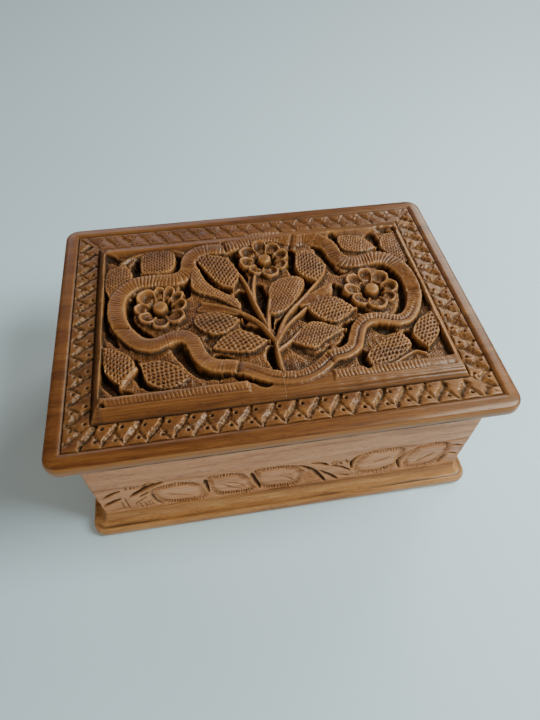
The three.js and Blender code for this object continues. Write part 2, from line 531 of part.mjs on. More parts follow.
// A wall is turned by angle from the front, where its outer face is at -halfOut. Both ends are mitred.
function makeWall(halfLength, halfOut, angle) {
  const innerLength = halfLength - WALL_THICKNESS;
  const innerOut = halfOut - WALL_THICKNESS;
  const plan = new THREE.Shape([
    new THREE.Vector2(-halfLength, -halfOut),
    new THREE.Vector2(halfLength, -halfOut),
    new THREE.Vector2(innerLength, -innerOut),
    new THREE.Vector2(-innerLength, -innerOut),
  ]);
  const holes = baseScrewPlaces.map((at) => screwHole(BASE_SCREW, at, BASE_SCREW_SINK));
  const stock = solid(prism(plan, BASE_HEIGHT, wallTop).rotateZ(angle));
  return cut(stock, ...wallGouges(halfLength, halfOut, angle), ...holes);
}

// The chips of the lid's band: a broad stroke and a thin one in each repeat. They lean onward along the front
// and the right side, and back along the others.
function bandChips() {
  const sides = [
    { halfLength: bandHalf.x, halfOut: bandHalf.y, angle: 0, lean: 1 },
    { halfLength: bandHalf.y, halfOut: bandHalf.x, angle: Math.PI / 2, lean: 1 },
    { halfLength: bandHalf.x, halfOut: bandHalf.y, angle: Math.PI, lean: -1 },
    { halfLength: bandHalf.y, halfOut: bandHalf.x, angle: -Math.PI / 2, lean: -1 },
  ];
  const widen = (LID_BAND + SCORE_WIDTH) / DRAWN_BAND;
  return sides.flatMap(({ halfLength, halfOut, angle, lean }) => {
    const count = Math.round((2 * halfLength) / CHIP_PITCH) - 1;
    const starts = Array.from({ length: count }, (_, i) => (i - (count - 1) / 2) * CHIP_PITCH - CHIP_START);
    return starts.flatMap((start) => {
      const placed = (points) => points.map(([x, inward]) => [lean * (start + x), inward * widen - halfOut]);
      return [
        groove(placed(BROAD_CHIP), BROAD_CHIP_WIDTH, BROAD_CHIP_DEPTH, rimTop, BROAD_CHIP_STEPS),
        groove(placed(THIN_CHIP), THIN_CHIP_WIDTH, THIN_CHIP_DEPTH, rimTop, THIN_CHIP_STEPS),
      ].map((chip) => solid(chip.rotateZ(angle)));
    });
  });
}

// The lid's underside and rounded edge, its scored lines, and the bevel up to the panel.
function lidBlank() {
  const low = Array.from({ length: EDGE_STEPS + 1 }, (_, i) => {
    const angle = (i / EDGE_STEPS) * (Math.PI / 2);
    const inset = LID_EDGE_ROUND * (1 - Math.sin(angle));
    return { inset, z: wallTop + LID_EDGE_ROUND * (1 - Math.cos(angle)) };
  });
  const high = low.map(({ inset, z }) => ({ inset, z: rimTop + wallTop - z })).reverse();
  const edge = [...low, ...high].map(({ inset, z }) => ({
    half: setIn(lidHalf, inset, inset),
    z,
    radius: LID_CORNER_RADIUS - inset,
  }));
  const half = SCORE_WIDTH / 2;
  const score = (line) => [
    { half: setIn(line, -half, -half), z: rimTop, radius: SHARP_CORNER },
    { half: line, z: rimTop - SCORE_DEPTH, radius: SHARP_CORNER },
    { half: setIn(line, half, half), z: rimTop, radius: SHARP_CORNER },
  ];
  const panel = { half: panelHalf, z: panelTop, radius: SHARP_CORNER };
  return board([...edge, ...score(bandHalf), ...score(fieldHalf), panel]);
}

// What is sunk into the panel: its ground, the gap in the strip along the front, the pits beside the motifs and
// the round pits under the flowers.
function sunkParts() {
  const side = panelHalf.x - PANEL_SIDE_FRAME;
  const front = panelHalf.y - ROPE_WIDTH;
  const back = panelHalf.y - PANEL_BACK_FRAME;
  const over = panelTop + OVERCUT;
  const [gapLeft, gapRight] = ROPE_GAP.map((x) => x * stretch.x);
  const pits = PITS.map(([share, points]) => {
    const outline = new THREE.Shape(points.map((point) => new THREE.Vector2(...onPanel(point))));
    return solid(prism(outline, ground - share * PIT_DEPTH, over));
  });
  const flowerPit = [
    [0, -PIT_DEPTH], [FLOWER_PIT_RADIUS, -PIT_DEPTH], [FLOWER_PIT_RADIUS, OVERCUT], [0, OVERCUT],
  ];
  return [
    block([-side, -front, ground], [side, back, over]),
    block([gapLeft, -fieldHalf.y, panelTop - ROPE_GAP_DEPTH], [gapRight, -front, over]),
    ...pits,
    ...FLOWERS.map(({ at }) => turned(flowerPit, onPanel(at), ground)),
  ];
}

// An egg's outline about the origin, wider towards +X.
function egg(length, width) {
  return Array.from({ length: PETAL_STEPS }, (_, i) => {
    const angle = (i / PETAL_STEPS) * 2 * Math.PI;
    const swell = 1 + PETAL_SWELL * Math.cos(angle);
    return new THREE.Vector2((length / 2) * Math.cos(angle), (width / 2) * swell * Math.sin(angle));
  });
}

// A flower: scooped petals side by side round a button. It stays round on a stretched panel.
function flower({ at, start, petals }) {
  const middle = onPanel(at);
  const scale = Math.min(stretch.x, stretch.y);
  const top = panelTop - FLOWER_DROP;
  const spread = (PETAL_SCOOP_RIM - PETAL_SCOOP_FLOOR) / PETAL_SCOOP_DEPTH;
  const mouth = PETAL_SCOOP_RIM + spread * OVERCUT;
  const bosses = [];
  const scoops = [];
  let begin = start;
  for (const [span, reach] of petals) {
    const length = reach * scale - FLOWER_BUTTON_RADIUS;
    const out = FLOWER_BUTTON_RADIUS + length / 2;
    const width = 2 * out * Math.sin(THREE.MathUtils.degToRad(span / 2)) + PETAL_OVERLAP;
    const turn = THREE.MathUtils.degToRad(begin + span / 2);
    const place = (geometry) => solid(geometry.translate(out, 0, 0).rotateZ(turn).translate(...middle, 0));
    const height = PETAL_SCOOP_DEPTH + OVERCUT;
    const scoop = new THREE.CylinderGeometry(mouth, PETAL_SCOOP_FLOOR, height, PETAL_STEPS);
    scoop.rotateX(Math.PI / 2).scale(length / 2, width / 2, 1).translate(0, 0, top + OVERCUT - height / 2);
    bosses.push(place(prism(new THREE.Shape(egg(length, width)), motifFoot, top)));
    scoops.push(place(scoop));
    begin += span;
  }
  const rim = FLOWER_BUTTON_RADIUS + FLOWER_RING_WIDTH;
  const ring = [
    [FLOWER_BUTTON_RADIUS, OVERCUT], [FLOWER_BUTTON_RADIUS, -FLOWER_RING_DEPTH], [rim, 0], [rim, OVERCUT],
    [FLOWER_BUTTON_RADIUS, OVERCUT],
  ];
  const buttonTop = panelTop - FLOWER_BUTTON_DROP;
  const button = [
    [0, motifFoot - buttonTop], [FLOWER_BUTTON_RADIUS, motifFoot - buttonTop],
    [FLOWER_BUTTON_RADIUS, -FLOWER_BUTTON_ROUND], [FLOWER_BUTTON_RADIUS / 2, 0], [0, 0],
  ];
  return join(cut(join(...bosses), ...scoops, turned(ring, middle, top)), turned(button, middle, buttonTop));
}

function carving() {
  const raised = (outline, drop) => solid(prism(outline, motifFoot, panelTop - drop));
  const leaves = LEAVES.map((points) => raised(leafOutline(points), LEAF_DROP));
  const stems = STEMS.map((points) => raised(stemOutline(points), STEM_DROP));
  const ridges = RIDGES.map((points) => raised(stemOutline(points), RIDGE_DROP));
  const ribbon = raised(ribbonOutline(), RIBBON_DROP);
  return join(ribbon, ...leaves, ...stems, ...ridges, ...FLOWERS.map(flower));
}

// Hinges: each has a leaf let into the back wall's top, a leaf let into the lid's underside, and a pin.

const hingeScrewPlaces = (x) =>
  [-1, 1].map((side) => [x + side * (HINGE_LENGTH / 2 - HINGE_SCREW_INSET), (leafInnerY + leafOuterY) / 2]);

// The mortise of one leaf. It is open towards the other board and at the back.
function leafMortise(x, low, high) {
  const half = HINGE_LENGTH / 2;
  return block([x - half, leafInnerY, low], [x + half, hingeY, high]);
}

// A leaf lies between two heights and carries the knuckles that span the given stretches of the barrel.
function hingeLeaf(x, low, high, knuckles, screwHoles) {
  const half = HINGE_LENGTH / 2;
  const plate = block([x - half, leafInnerY, low], [x + half, leafOuterY, high]);
  const barrel = knuckles.flatMap(([x0, x1]) => [
    block([x + x0, leafOuterY, low], [x + x1, hingeY, high]),
    rod(x + x0, x + x1, hingeY, wallTop, HINGE_BARREL_RADIUS),
  ]);
  const bore = rod(x - half - OVERCUT, x + half + OVERCUT, hingeY, wallTop, PIN_RADIUS + RUNNING_CLEARANCE);
  return cut(join(plate, ...barrel), bore, ...screwHoles);
}

function makeHinge(name, x) {
  const half = HINGE_LENGTH / 2;
  const middle = HINGE_MIDDLE_KNUCKLE / 2;
  const outer = middle + KNUCKLE_GAP;
  const wallFace = wallTop - HINGE_LEAF_SINK;
  const lidFace = wallTop + HINGE_LEAF_SINK;
  const places = hingeScrewPlaces(x);
  const wallHoles = places.map((at) => screwHole(WALL_HINGE_SCREW, at, wallFace, false));
  const lidHoles = places.map((at) => screwHole(LID_HINGE_SCREW, at, lidFace));
  const wallLeaf = hingeLeaf(x, wallTop - leafDepth, wallFace, [[-half, -outer], [outer, half]], wallHoles);
  const lidLeaf = hingeLeaf(x, lidFace, wallTop + leafDepth, [[-middle, middle]], lidHoles);
  const pin = rod(x - half - PIN_OVERRUN, x + half + PIN_OVERRUN, hingeY, wallTop, PIN_RADIUS);
  const screws = places.flatMap((at, i) => [
    piece(`${name}_wall_screw_${i + 1}`, screw(WALL_HINGE_SCREW, at, wallFace, false), brass),
    piece(`${name}_lid_screw_${i + 1}`, screw(LID_HINGE_SCREW, at, lidFace), brass),
  ]);
  return [
    piece(`${name}_wall_leaf`, wallLeaf, brass),
    piece(`${name}_lid_leaf`, lidLeaf, brass),
    piece(`${name}_pin`, pin, steel),
    ...screws,
  ];
}

function makeLid() {
  const groove = HINGE_BARREL_RADIUS + BARREL_CLEARANCE;
  const reach = HINGE_LENGTH / 2 + BARREL_CLEARANCE;
  const rooms = hingeXs.flatMap((x) => [
    leafMortise(x, wallTop - OVERCUT, wallTop + leafDepth),
    rod(x - reach, x + reach, hingeY, wallTop, groove),
  ]);
  const holes = hingeXs
    .flatMap(hingeScrewPlaces)
    .map((at) => screwHole(LID_HINGE_SCREW, at, wallTop + HINGE_LEAF_SINK));
  const blank = cut(lidBlank(), ...bandChips(), ...sunkParts());
  return cut(join(blank, carving()), ...rooms, ...holes);
}

function makeBackWall() {
  const mortises = hingeXs.map((x) => leafMortise(x, wallTop - leafDepth, wallTop + OVERCUT));
  const holes = hingeXs
    .flatMap(hingeScrewPlaces)
    .map((at) => screwHole(WALL_HINGE_SCREW, at, wallTop - HINGE_LEAF_SINK, false));
  return cut(makeWall(bodyHalf.x, bodyHalf.y, Math.PI), ...mortises, ...holes);
}

const quarterTurn = Math.PI / 2;
const box = new THREE.Group();
box.add(
  piece("base_board", makeBase(), baseWood),
  piece("front_wall", makeWall(bodyHalf.x, bodyHalf.y, 0), wallWood),
  piece("right_wall", makeWall(bodyHalf.y, bodyHalf.x, quarterTurn), wallWood),
  piece("back_wall", makeBackWall(), wallWood),
  piece("left_wall", makeWall(bodyHalf.y, bodyHalf.x, -quarterTurn), wallWood),
  ...baseScrewPlaces.map((at, i) => piece(`base_screw_${i + 1}`, screw(BASE_SCREW, at, BASE_SCREW_SINK), steel)),
  piece("lid_board", makeLid(), lidWood),
  ...makeHinge("left_hinge", hingeXs[0]),
  ...makeHinge("right_hinge", hingeXs[1]),
);

export default box;
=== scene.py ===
"""Carved wooden box with a hinged lid: the looks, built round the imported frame.

Lengths are in millimetres until a mesh is made. +Z is up, -Y is the front, and the origin is the centre of
the base's underside, as in the CAD model. Every call of value_noise has a seed of its own, so that no two
patterns match.
"""

import logging
import math
from collections.abc import Callable, Sequence
from dataclasses import dataclass, field
from enum import Enum
from typing import ClassVar

import bmesh
import bpy
import numpy as np
from bpy.types import Material, Mesh, Node, NodeSocket, NodeTree, Object
from mathutils import Matrix, Vector


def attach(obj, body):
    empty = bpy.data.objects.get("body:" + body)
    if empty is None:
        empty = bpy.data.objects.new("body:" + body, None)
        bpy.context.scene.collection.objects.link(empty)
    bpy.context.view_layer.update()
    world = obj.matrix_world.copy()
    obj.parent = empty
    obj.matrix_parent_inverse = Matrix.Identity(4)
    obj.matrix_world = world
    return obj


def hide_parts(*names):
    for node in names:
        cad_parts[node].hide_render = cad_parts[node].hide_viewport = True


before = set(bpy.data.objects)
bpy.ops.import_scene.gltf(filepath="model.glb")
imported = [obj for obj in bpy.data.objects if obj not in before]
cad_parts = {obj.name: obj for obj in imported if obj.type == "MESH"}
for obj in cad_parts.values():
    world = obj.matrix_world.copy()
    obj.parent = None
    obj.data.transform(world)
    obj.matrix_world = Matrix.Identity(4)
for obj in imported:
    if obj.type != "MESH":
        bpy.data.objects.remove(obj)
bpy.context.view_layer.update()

LOG = logging.getLogger("carved_box")
MM = 0.001

Point = tuple[float, float]
Line = tuple[Point, ...]

# Sizes of the box, as in the CAD model
BODY_LENGTH = 137.4
BODY_DEPTH = 98.4
WALL_HEIGHT = 44.9
WALL_THICKNESS = 8.0
BASE_HEIGHT = 10.3
BASE_SIDE_PROJECTION = 6.1
BASE_FRONT_PROJECTION = 4.8
BASE_BEAD_HEIGHT = 5.0
BASE_CREASE = 1.4
BASE_CORNER_RADIUS = 5.0
LID_SIDE_OVERHANG = 7.5
LID_FRONT_OVERHANG = 6.15
LID_EDGE_THICKNESS = 5.6
LID_CORNER_RADIUS = 5.5
LID_MARGIN = 5.7
LID_BAND = 8.3
SCORE_WIDTH = 0.8
SCORE_DEPTH = 0.6
PANEL_RISE = 2.8
PANEL_SIDE_BEVEL = 1.7
PANEL_FRONT_BEVEL = 4.0
PANEL_SIDE_FRAME = 1.3
PANEL_BACK_FRAME = 1.2
ROPE_WIDTH = 3.6

WALL_TOP = BASE_HEIGHT + WALL_HEIGHT
RIM_TOP = WALL_TOP + LID_EDGE_THICKNESS
PANEL_BOTTOM = WALL_TOP + 1.05
PANEL_TOP = RIM_TOP + PANEL_RISE
BODY_HALF = np.array((BODY_LENGTH / 2, BODY_DEPTH / 2))
BASE_HALF = BODY_HALF + (BASE_SIDE_PROJECTION, BASE_FRONT_PROJECTION)
LID_HALF = BODY_HALF + (LID_SIDE_OVERHANG, LID_FRONT_OVERHANG)
BAND_HALF = LID_HALF - LID_MARGIN
FIELD_HALF = BAND_HALF - LID_BAND
PANEL_HALF = FIELD_HALF - SCORE_WIDTH / 2 - (PANEL_SIDE_BEVEL, PANEL_FRONT_BEVEL)

# How finely the carving is modelled
PANEL_STEP = 0.25
BAND_STEP = 0.3
WALL_STEP = 0.33
# The walls' shallow carving is taken as this much deeper when its painted shade and dust, and its rubbing and
# painted highlights, are worked out.
SHADE_AND_RUBBING_GAIN = 1.6

# The carving on the lid, seen from above and measured from the lid's middle

# Serpentine ribbon, anticlockwise from the middle of the front.
RIBBON: Line = (
    (3, -34.2), (8.5, -33.5), (13.5, -31), (18, -27.4), (22.5, -26.6), (26.3, -24.4), (28.2, -20.5),
    (30.2, -16.4), (33.5, -13.6), (37.5, -12.8), (41.5, -14), (45.5, -15.1), (49.3, -13.6), (52, -10.2),
    (54.2, -6), (55.6, -1), (55.9, 4.5), (55.2, 9.5), (53.3, 14), (50, 17.4), (45.8, 18.6), (41, 17.6),
    (36.8, 17), (33.3, 18.4), (31, 21.6), (30.2, 25.8), (28.6, 30), (25, 32.8), (20, 33.6), (15, 33.8),
    (10, 36), (4, 36.6), (-2, 35.8), (-8, 33.5), (-13.5, 32.2), (-19, 32.5), (-24, 30.8), (-26.9, 27),
    (-27.6, 22.2), (-30.2, 18.6), (-35, 17.4), (-41, 18), (-47, 17.2), (-51.6, 14), (-54, 9.2),
    (-54.4, 3.8), (-53.4, -1.6), (-50.8, -7), (-47, -11.6), (-42.4, -13.6), (-38, -12.4), (-34.4, -10.9),
    (-31, -11.3), (-28.2, -14), (-26.9, -18.4), (-25, -22.6), (-21.4, -25.4), (-17, -26.3),
    (-12.5, -27.8), (-8, -30.4), (-3, -33),
)
# What changes along the ribbon, each as (number of the ribbon's point, value).
RIBBON_WIDTHS = (
    (0, 5.4), (14, 5.2), (19, 5.6), (29, 5.4), (33, 6.0), (42, 5.6), (45, 6.3), (48, 5.6), (60, 5.4),
)
RIBBON_NOTCHES = (
    (0, 0.4), (3, 0.8), (7, 0.7), (9, 0.4), (11, 0.9), (14, 0.3), (17, 0.3), (19, 1), (23, 1), (25, 0.5),
    (29, 0.5), (31, 1), (35, 0.8), (37, 0.1), (38, 0.2), (40, 1), (42, 0.9), (44, 0.2), (54, 0.1),
    (56, 0.5), (58, 0.3), (60, 0.3),
)
RIBBON_TWINS = ((0, 1), (12, 1), (14, 0), (58, 0), (60, 1))
# How far its inner edge lies below its outer one.
RIBBON_LEANS = (
    (0, 0.3), (12, 0.3), (15, 1.3), (19, 1.2), (22, 0.2), (24, 1.9), (28, 1.9), (31, 0), (36, 0), (40, 0.8),
    (44, 0.2), (50, 0.2), (54, 0.5), (60, 0.2),
)
# Where one stretch of the ribbon dips under the next.
RIBBON_STEPS: tuple[tuple[Point, Point], ...] = (
    ((-55.8, -4.6), (-49.6, -5.4)), ((-13.2, -23.6), (-15, -30)), ((15, -26), (18.2, -31.6)),
    ((53, -0.6), (59, -1.6)), ((15.9, 36.4), (13, 29)), ((-13.4, 35.6), (-11.6, 29.4)),
)


@dataclass(frozen=True)
class Punch:
    """A kind of punch mark. Its sway is how far it strays, as a share of the pitch from row to row."""

    length: float
    width: float
    pitch: float
    row_pitch: float
    depth: float
    sway: float = 0.24


class Marks(Enum):
    """How a leaf's face or the ground is punched."""

    SLOTS = Punch(1.5, 0.82, 1.95, 1.12, 0.75)
    FINE_SLOTS = Punch(1.1, 0.7, 1.5, 0.98, 0.5)
    DOTS = Punch(0.8, 0.7, 1.25, 1.1, 0.45)
    STIPPLE = Punch(0.75, 0.6, 1.0, 0.86, 0.45, 0.38)
    PLAIN = Punch(1.0, 1.0, 2.0, 2.0, 0.0)


@dataclass(frozen=True)
class Leaf:
    """A leaf of the carving.

    Attributes:
        outline: points of its smooth outline.
        marks: how its face is punched.
        angle: direction in which the marks are long, in degrees from +X.
        drop: how far its face lies below the panel's top, at its middle.
        lean: how much the face rises for each millimetre in x and in y.
    """

    outline: Line
    marks: Marks = Marks.SLOTS
    angle: float = 90.0
    drop: float = 0.3
    lean: Point = (0.0, 0.0)


# Leaves inside the ribbon, then the ones in the panel's corners.
LEAVES: tuple[Leaf, ...] = (
    Leaf(((-24, 27.4), (-24, 27.4), (-18, 28.6), (-12.8, 26), (-9.6, 20.5), (-8.6, 15.5), (-11.6, 9.2),
        (-11.6, 9.2), (-16.4, 12.4), (-20.6, 20)), angle=104, lean=(0.04, 0.0)),
    Leaf(((-24.6, 24), (-26.8, 15.5), (-25.5, 10), (-18, 5.6), (-10.6, -0.8), (-10.4, 3.4), (-16, 8.4),
        (-21, 14.2)), Marks.DOTS, 120, 0.5, (-0.03, 0.0)),
    Leaf(((-25.5, 0.5), (-22.5, 3.2), (-16.5, 1.2), (-10.5, -3.4), (-16.5, -1.8)), Marks.PLAIN, 0, 1.2),
    Leaf(((-27, -4), (-24.5, -1.6), (-18, -1.8), (-10.8, -6.4), (-10.8, -6.4), (-15.5, -11), (-21, -11.7),
        (-25.8, -8)), angle=158, drop=0.5, lean=(0.02, -0.03)),
    Leaf(((-22, -18), (-22, -18), (-17, -12.8), (-11, -11.4), (-2.6, -17.6), (-2.6, -17.6), (-8.5, -21.2),
        (-15.5, -20.4)), angle=160, drop=0.5, lean=(0.02, -0.03)),
    Leaf(((2.2, 8.5), (7, 11.8), (13, 12.2), (15.4, 8.6), (11, 0.8), (5.6, -4.4), (0.2, -5), (1, 2)),
        Marks.DOTS, 60, 0.5),
    Leaf(((16.8, 25.8), (22, 24.4), (25.2, 17.5), (23.2, 11.6), (20, 9), (20, 9), (14.8, 13.6), (14.2, 20)),
        angle=82),
    Leaf(((11.5, -2.6), (16, 2.2), (25.8, 7.4), (25.8, 7.4), (24, 0.6), (16.5, -2.4)), Marks.PLAIN, 0, 0.8,
        (-0.02, 0.03)),
    Leaf(((14, -4.2), (14, -4.2), (19.5, -0.8), (25.5, -0.8), (31.2, -7.2), (31.2, -7.2), (25.4, -11.4),
        (21, -12), (16.2, -8.6)), angle=62, drop=0.4),
    Leaf(((5, -18.8), (5, -18.8), (10, -13.6), (15.6, -11.4), (24.8, -16.2), (24.8, -16.2), (17.5, -20),
        (12.5, -22.8)), Marks.FINE_SLOTS, 62, 0.6),
    Leaf(((-57.6, 25.5), (-51.6, 28.6), (-51.6, 28.6), (-48.8, 22.5), (-51.2, 16.2), (-56.8, 10.8),
        (-56.8, 10.8), (-58.8, 18)), Marks.FINE_SLOTS, 90, 0.8),
    Leaf(((-44.4, 32.6), (-38, 34.8), (-32.6, 32.4), (-32.8, 25), (-36.4, 22), (-45.2, 22.8), (-45.2, 22.8),
        (-45.4, 28)), Marks.FINE_SLOTS, 88, 0.7),
    Leaf(((34.4, 32.4), (39.5, 33.4), (45, 30.6), (48, 24.6), (48, 24.6), (41.6, 23.2), (35, 25.6)),
        Marks.FINE_SLOTS, 70, 0.8),
    Leaf(((50.6, 27), (54.6, 32), (59, 30.4), (59.4, 19.5), (57.4, 14.6), (52, 20)), Marks.FINE_SLOTS, 80,
        0.8),
    Leaf(((-58.6, -12.4), (-58.6, -12.4), (-53.2, -14.4), (-48, -21), (-52.6, -28.8), (-52.6, -28.8),
        (-57.6, -22.6)), angle=90, drop=0.6, lean=(0.03, 0.0)),
    Leaf(((-46.2, -21), (-46.2, -21), (-39.5, -20.6), (-33.5, -24.2), (-31, -29), (-37, -32),
        (-43.6, -29.4)), angle=140, drop=0.7),
    Leaf(((30, -28.6), (35, -24.4), (44, -20.4), (44, -20.4), (46, -26.8), (38.5, -31.6), (30.2, -33.6),
        (30.2, -33.6)), angle=58, drop=0.5),
    Leaf(((48.2, -22), (52.4, -16), (58.2, -12.8), (58.2, -12.8), (57.8, -22), (51.4, -28.8),
        (51.4, -28.8)), angle=64, drop=0.4),
)

STEMS: tuple[Line, ...] = (
    ((0.4, -31.5), (0, -24), (0.3, -17)),
    ((0.3, -18), (-4.5, -8.5), (-13, -0.8), (-23.5, 3.6)),
    ((-1.5, -12.5), (-4.3, 0), (-6.8, 12), (-12.2, 26)),
    ((-4.6, 3), (-4, 9), (-2.6, 15)),
    ((-1.6, -12), (-0.6, -6), (1.2, 2)),
    ((0.4, -18), (6, -7), (15, 2.3), (23, 11.4), (25.4, 17)),
    ((0.4, -19), (5, -12), (13.5, -4.4)),
    ((0.4, -22), (4.6, -19.2), (9, -15)),
)
# Smooth ridges left standing near the panel's back and beside its corner leaves.
RIDGES: tuple[Line, ...] = (
    ((-53, 29.6), (-49, 32.6), (-43, 34.6)),
    ((-33.4, 34.8), (-29, 32.8)),
    ((56.4, 34.8), (58, 33)),
    ((30.6, -34.4), (38, -33), (46, -29.4), (50, -30.6)),
    ((-48, -22.4), (-52.6, -29.4)),
)
# Pits cut down beside the motifs, each as (depth below the panel's top, outline).
PITS: tuple[tuple[float, Line], ...] = (
    (4.7, ((-47, 13.4), (-50.8, 8), (-51.2, 2), (-50, -4), (-46, -8.8), (-41, -10.8), (-42, -8),
        (-45.4, -5), (-48.2, 0), (-48.4, 5), (-46.5, 9.5))),
    (3.2, ((-41, -10.8), (-35, -10), (-29.5, -7), (-29, -5), (-36, -8.4))),
    (4.7, ((-31, 16), (-28, 17.4), (-27.2, 12), (-28.5, 8), (-30.2, 8.5), (-31, 12))),
    (4.8, ((-25, 27.5), (-22, 27), (-20.5, 19), (-17, 12), (-12.5, 9), (-15, 8), (-19, 12), (-22.8, 18),
        (-25, 23))),
    (4.8, ((-11.5, 30.4), (-7.5, 28.5), (-6.5, 22), (-5.4, 16), (-6.6, 11), (-8.6, 16), (-8.6, 21),
        (-10.5, 26))),
    (4.8, ((-11, 8), (-7.5, 8.5), (-5.2, 2), (-3, -6), (-1.6, -12), (-4.5, -7.5), (-8.5, -2.5),
        (-10.6, 2))),
    (4.8, ((-3.2, 11), (-0.2, 11), (0.8, 4), (1.2, -5), (0.2, -11), (-1.4, -5), (-3.4, 2))),
    (4.4, ((-10.6, -7.4), (-5.5, -10), (-1.6, -14.5), (-0.6, -18), (-2.6, -17.8), (-6, -14),
        (-10.4, -10.6))),
    (4.8, ((-3.4, -20.5), (-1.2, -19.2), (0, -24), (-0.2, -31.4), (-2.4, -28.5), (-3.8, -24.5))),
    (4.5, ((-36.5, -13.8), (-32.5, -13.2), (-29, -22), (-25.5, -26.4), (-15.5, -28.8), (-18, -30.2),
        (-25, -29.8), (-30.2, -26.2), (-33.2, -21), (-35.4, -16.5))),
    (4.5, ((-21.4, -20), (-17, -21), (-14.2, -23.8), (-17, -25), (-20.5, -23.4))),
    (4.2, ((-15.4, -27.6), (-12, -30.2), (-7, -33.6), (-4, -35.6), (-5.6, -36.6), (-8, -35.8),
        (-11.4, -33.6), (-15.8, -30.4))),
    (4.3, ((-58.8, -19), (-57, -24), (-53.4, -28.6), (-48.4, -31.8), (-51, -33), (-56, -30.6),
        (-58.8, -26))),
    (4.2, ((-49.4, -18.6), (-46.6, -19), (-45.4, -24), (-42, -29.4), (-44.6, -31), (-48.4, -26))),
    (4.0, ((-58.8, 24), (-57.8, 24), (-57.6, 15), (-56.2, 10.5), (-57.2, 5), (-57, -3), (-54.6, -7.5),
        (-53.6, -12), (-56.2, -9.5), (-58.8, -3))),
    (3.6, ((-58.8, 35.4), (-55.6, 34.4), (-51.6, 30.4), (-53.6, 29.2), (-56.4, 31), (-58.8, 32.6))),
    (4.2, ((-49, 29.4), (-46.2, 31.4), (-45.6, 23), (-47.5, 20.6), (-49.4, 24))),
    (4.6, ((-32.6, 31.6), (-29.6, 30.4), (-30.2, 24.6), (-33.4, 20.4), (-39, 19.8), (-36, 22.6),
        (-33.2, 24))),
    (4.8, ((12, 29.4), (15.4, 27.6), (15, 22), (14.6, 16), (19.4, 9), (13.6, 10.8), (11.2, 16),
        (10.8, 22))),
    (4.8, ((15.5, 13), (19.8, 9.5), (16, 4.2), (11, -1.2), (6.4, -6.2), (3, -11.8), (0.8, -14), (1.4, -9),
        (5.4, -5.6), (11, 0.4), (14.8, 6))),
    (4.8, ((20.4, 32), (26, 29), (28.6, 20), (31.6, 14), (34.5, 13.8), (30, 12), (26.2, 15.6), (24.2, 22),
        (23.4, 28))),
    (4.8, ((43, 15), (48, 15.6), (51.4, 11), (53.2, 6), (53.4, 0), (51.4, -5.6), (48.4, -10.6), (43, -13),
        (46.6, -9), (49.2, -4), (50, 2), (48.8, 8), (46, 12.4))),
    (4.4, ((24.8, 8), (29, 5.6), (30.4, 0), (34.6, -6), (38.5, -11), (34, -9.8), (29, -4.4), (25.2, 0.6))),
    (4.4, ((7.4, -4.4), (12.6, -3), (14.6, -7), (18, -10.4), (22.4, -12.2), (16.6, -12), (13, -10.4),
        (10.2, -7.8))),
    (4.6, ((25, -13), (30.4, -11.8), (28.6, -16.4), (26.4, -21), (23.2, -24), (20.8, -22.2), (24.6, -18))),
    (4.4, ((35.5, -15.2), (39.8, -14.8), (43, -18.8), (38.8, -20), (36, -18))),
    (4.6, ((45.6, -19.6), (48.4, -20.6), (49.8, -26), (51.8, -29.6), (47.6, -28.8), (45.2, -24.4))),
    (4.4, ((27.4, -25.8), (30.4, -26.6), (30, -33), (28, -34.2), (26.4, -30))),
    (4.2, ((30.8, 35.2), (34.6, 33.6), (34.2, 26), (31.6, 25.2), (31.4, 29))),
    (4.4, ((45.2, 31.8), (49.6, 34), (51, 27), (48, 22.2), (47, 26))),
    (3.2, ((50.6, 35.8), (58.6, 35), (58.8, 32), (55, 33.2))),
    (3.6, ((57.6, 15), (58.8, 14), (58.8, -5), (57.4, -4), (58.2, 4))),
    (3.4, ((3.4, -19), (8.6, -21.6), (13, -24.4), (18.4, -22), (16, -25.4), (9.6, -26.6))),
    (3.6, ((-17.4, -1.6), (-11, -3.8), (-7.6, -6.2), (-10.6, -7.8), (-15, -3.2))),
    (3.0, ((-23.4, -11.2), (-17, -12.6), (-20.6, -16), (-24, -14.6))),
    (3.9, ((-59.2, -35.4), (-57.9, -35.2), (-57.6, -36.4), (-59.0, -36.6))),
)


@dataclass(frozen=True)
class Flower:
    """A flower: scooped petals side by side round a button.

    Attributes:
        at: middle of its button.
        button: radius of the button.
        start: direction in which the first petal begins, in degrees.
        petals: (angle that it takes up in degrees, how far it reaches, depth of its scoop) for each petal.
    """

    at: Point
    button: float
    start: float
    petals: tuple[tuple[float, float, float], ...]


FLOWERS: tuple[Flower, ...] = (
    Flower((-38.8, 4.2), 2.6, -21, (
        (42, 9.7, 2.2), (28, 10.2, 2.0), (28, 10.0, 1.5), (28, 9.8, 1.5), (54, 10.4, 1.7), (44, 9.2, 1.6),
        (46, 9.4, 1.6), (42, 10.6, 1.7), (48, 11.0, 1.7))),
    Flower((2.6, 24.2), 2.5, -12, (
        (44, 9.6, 2.0), (44, 9.8, 1.7), (44, 10.6, 1.5), (48, 10.8, 1.7), (44, 10.2, 1.7), (44, 9.6, 1.7),
        (46, 11.0, 1.5), (46, 9.6, 1.9))),
    Flower((40.2, 2.0), 2.6, -22, (
        (48, 9.8, 2.2), (50, 10.2, 1.8), (40, 10.4, 1.7), (42, 10.8, 1.5), (38, 11.0, 1.5), (48, 10.4, 1.5),
        (52, 10.8, 1.6), (42, 9.8, 2.0))),
)

# The carved band of a wall, in its outer face: x from the wall's middle and height above its foot.


@dataclass(frozen=True)
class Stroke:
    """A gouge along a line, widest in its middle."""

    line: Line
    width: float
    depth: float


@dataclass(frozen=True)
class Teeth:
    """A row of short cuts across a line."""

    line: Line
    reach: float
    pitch: float
    depth: float


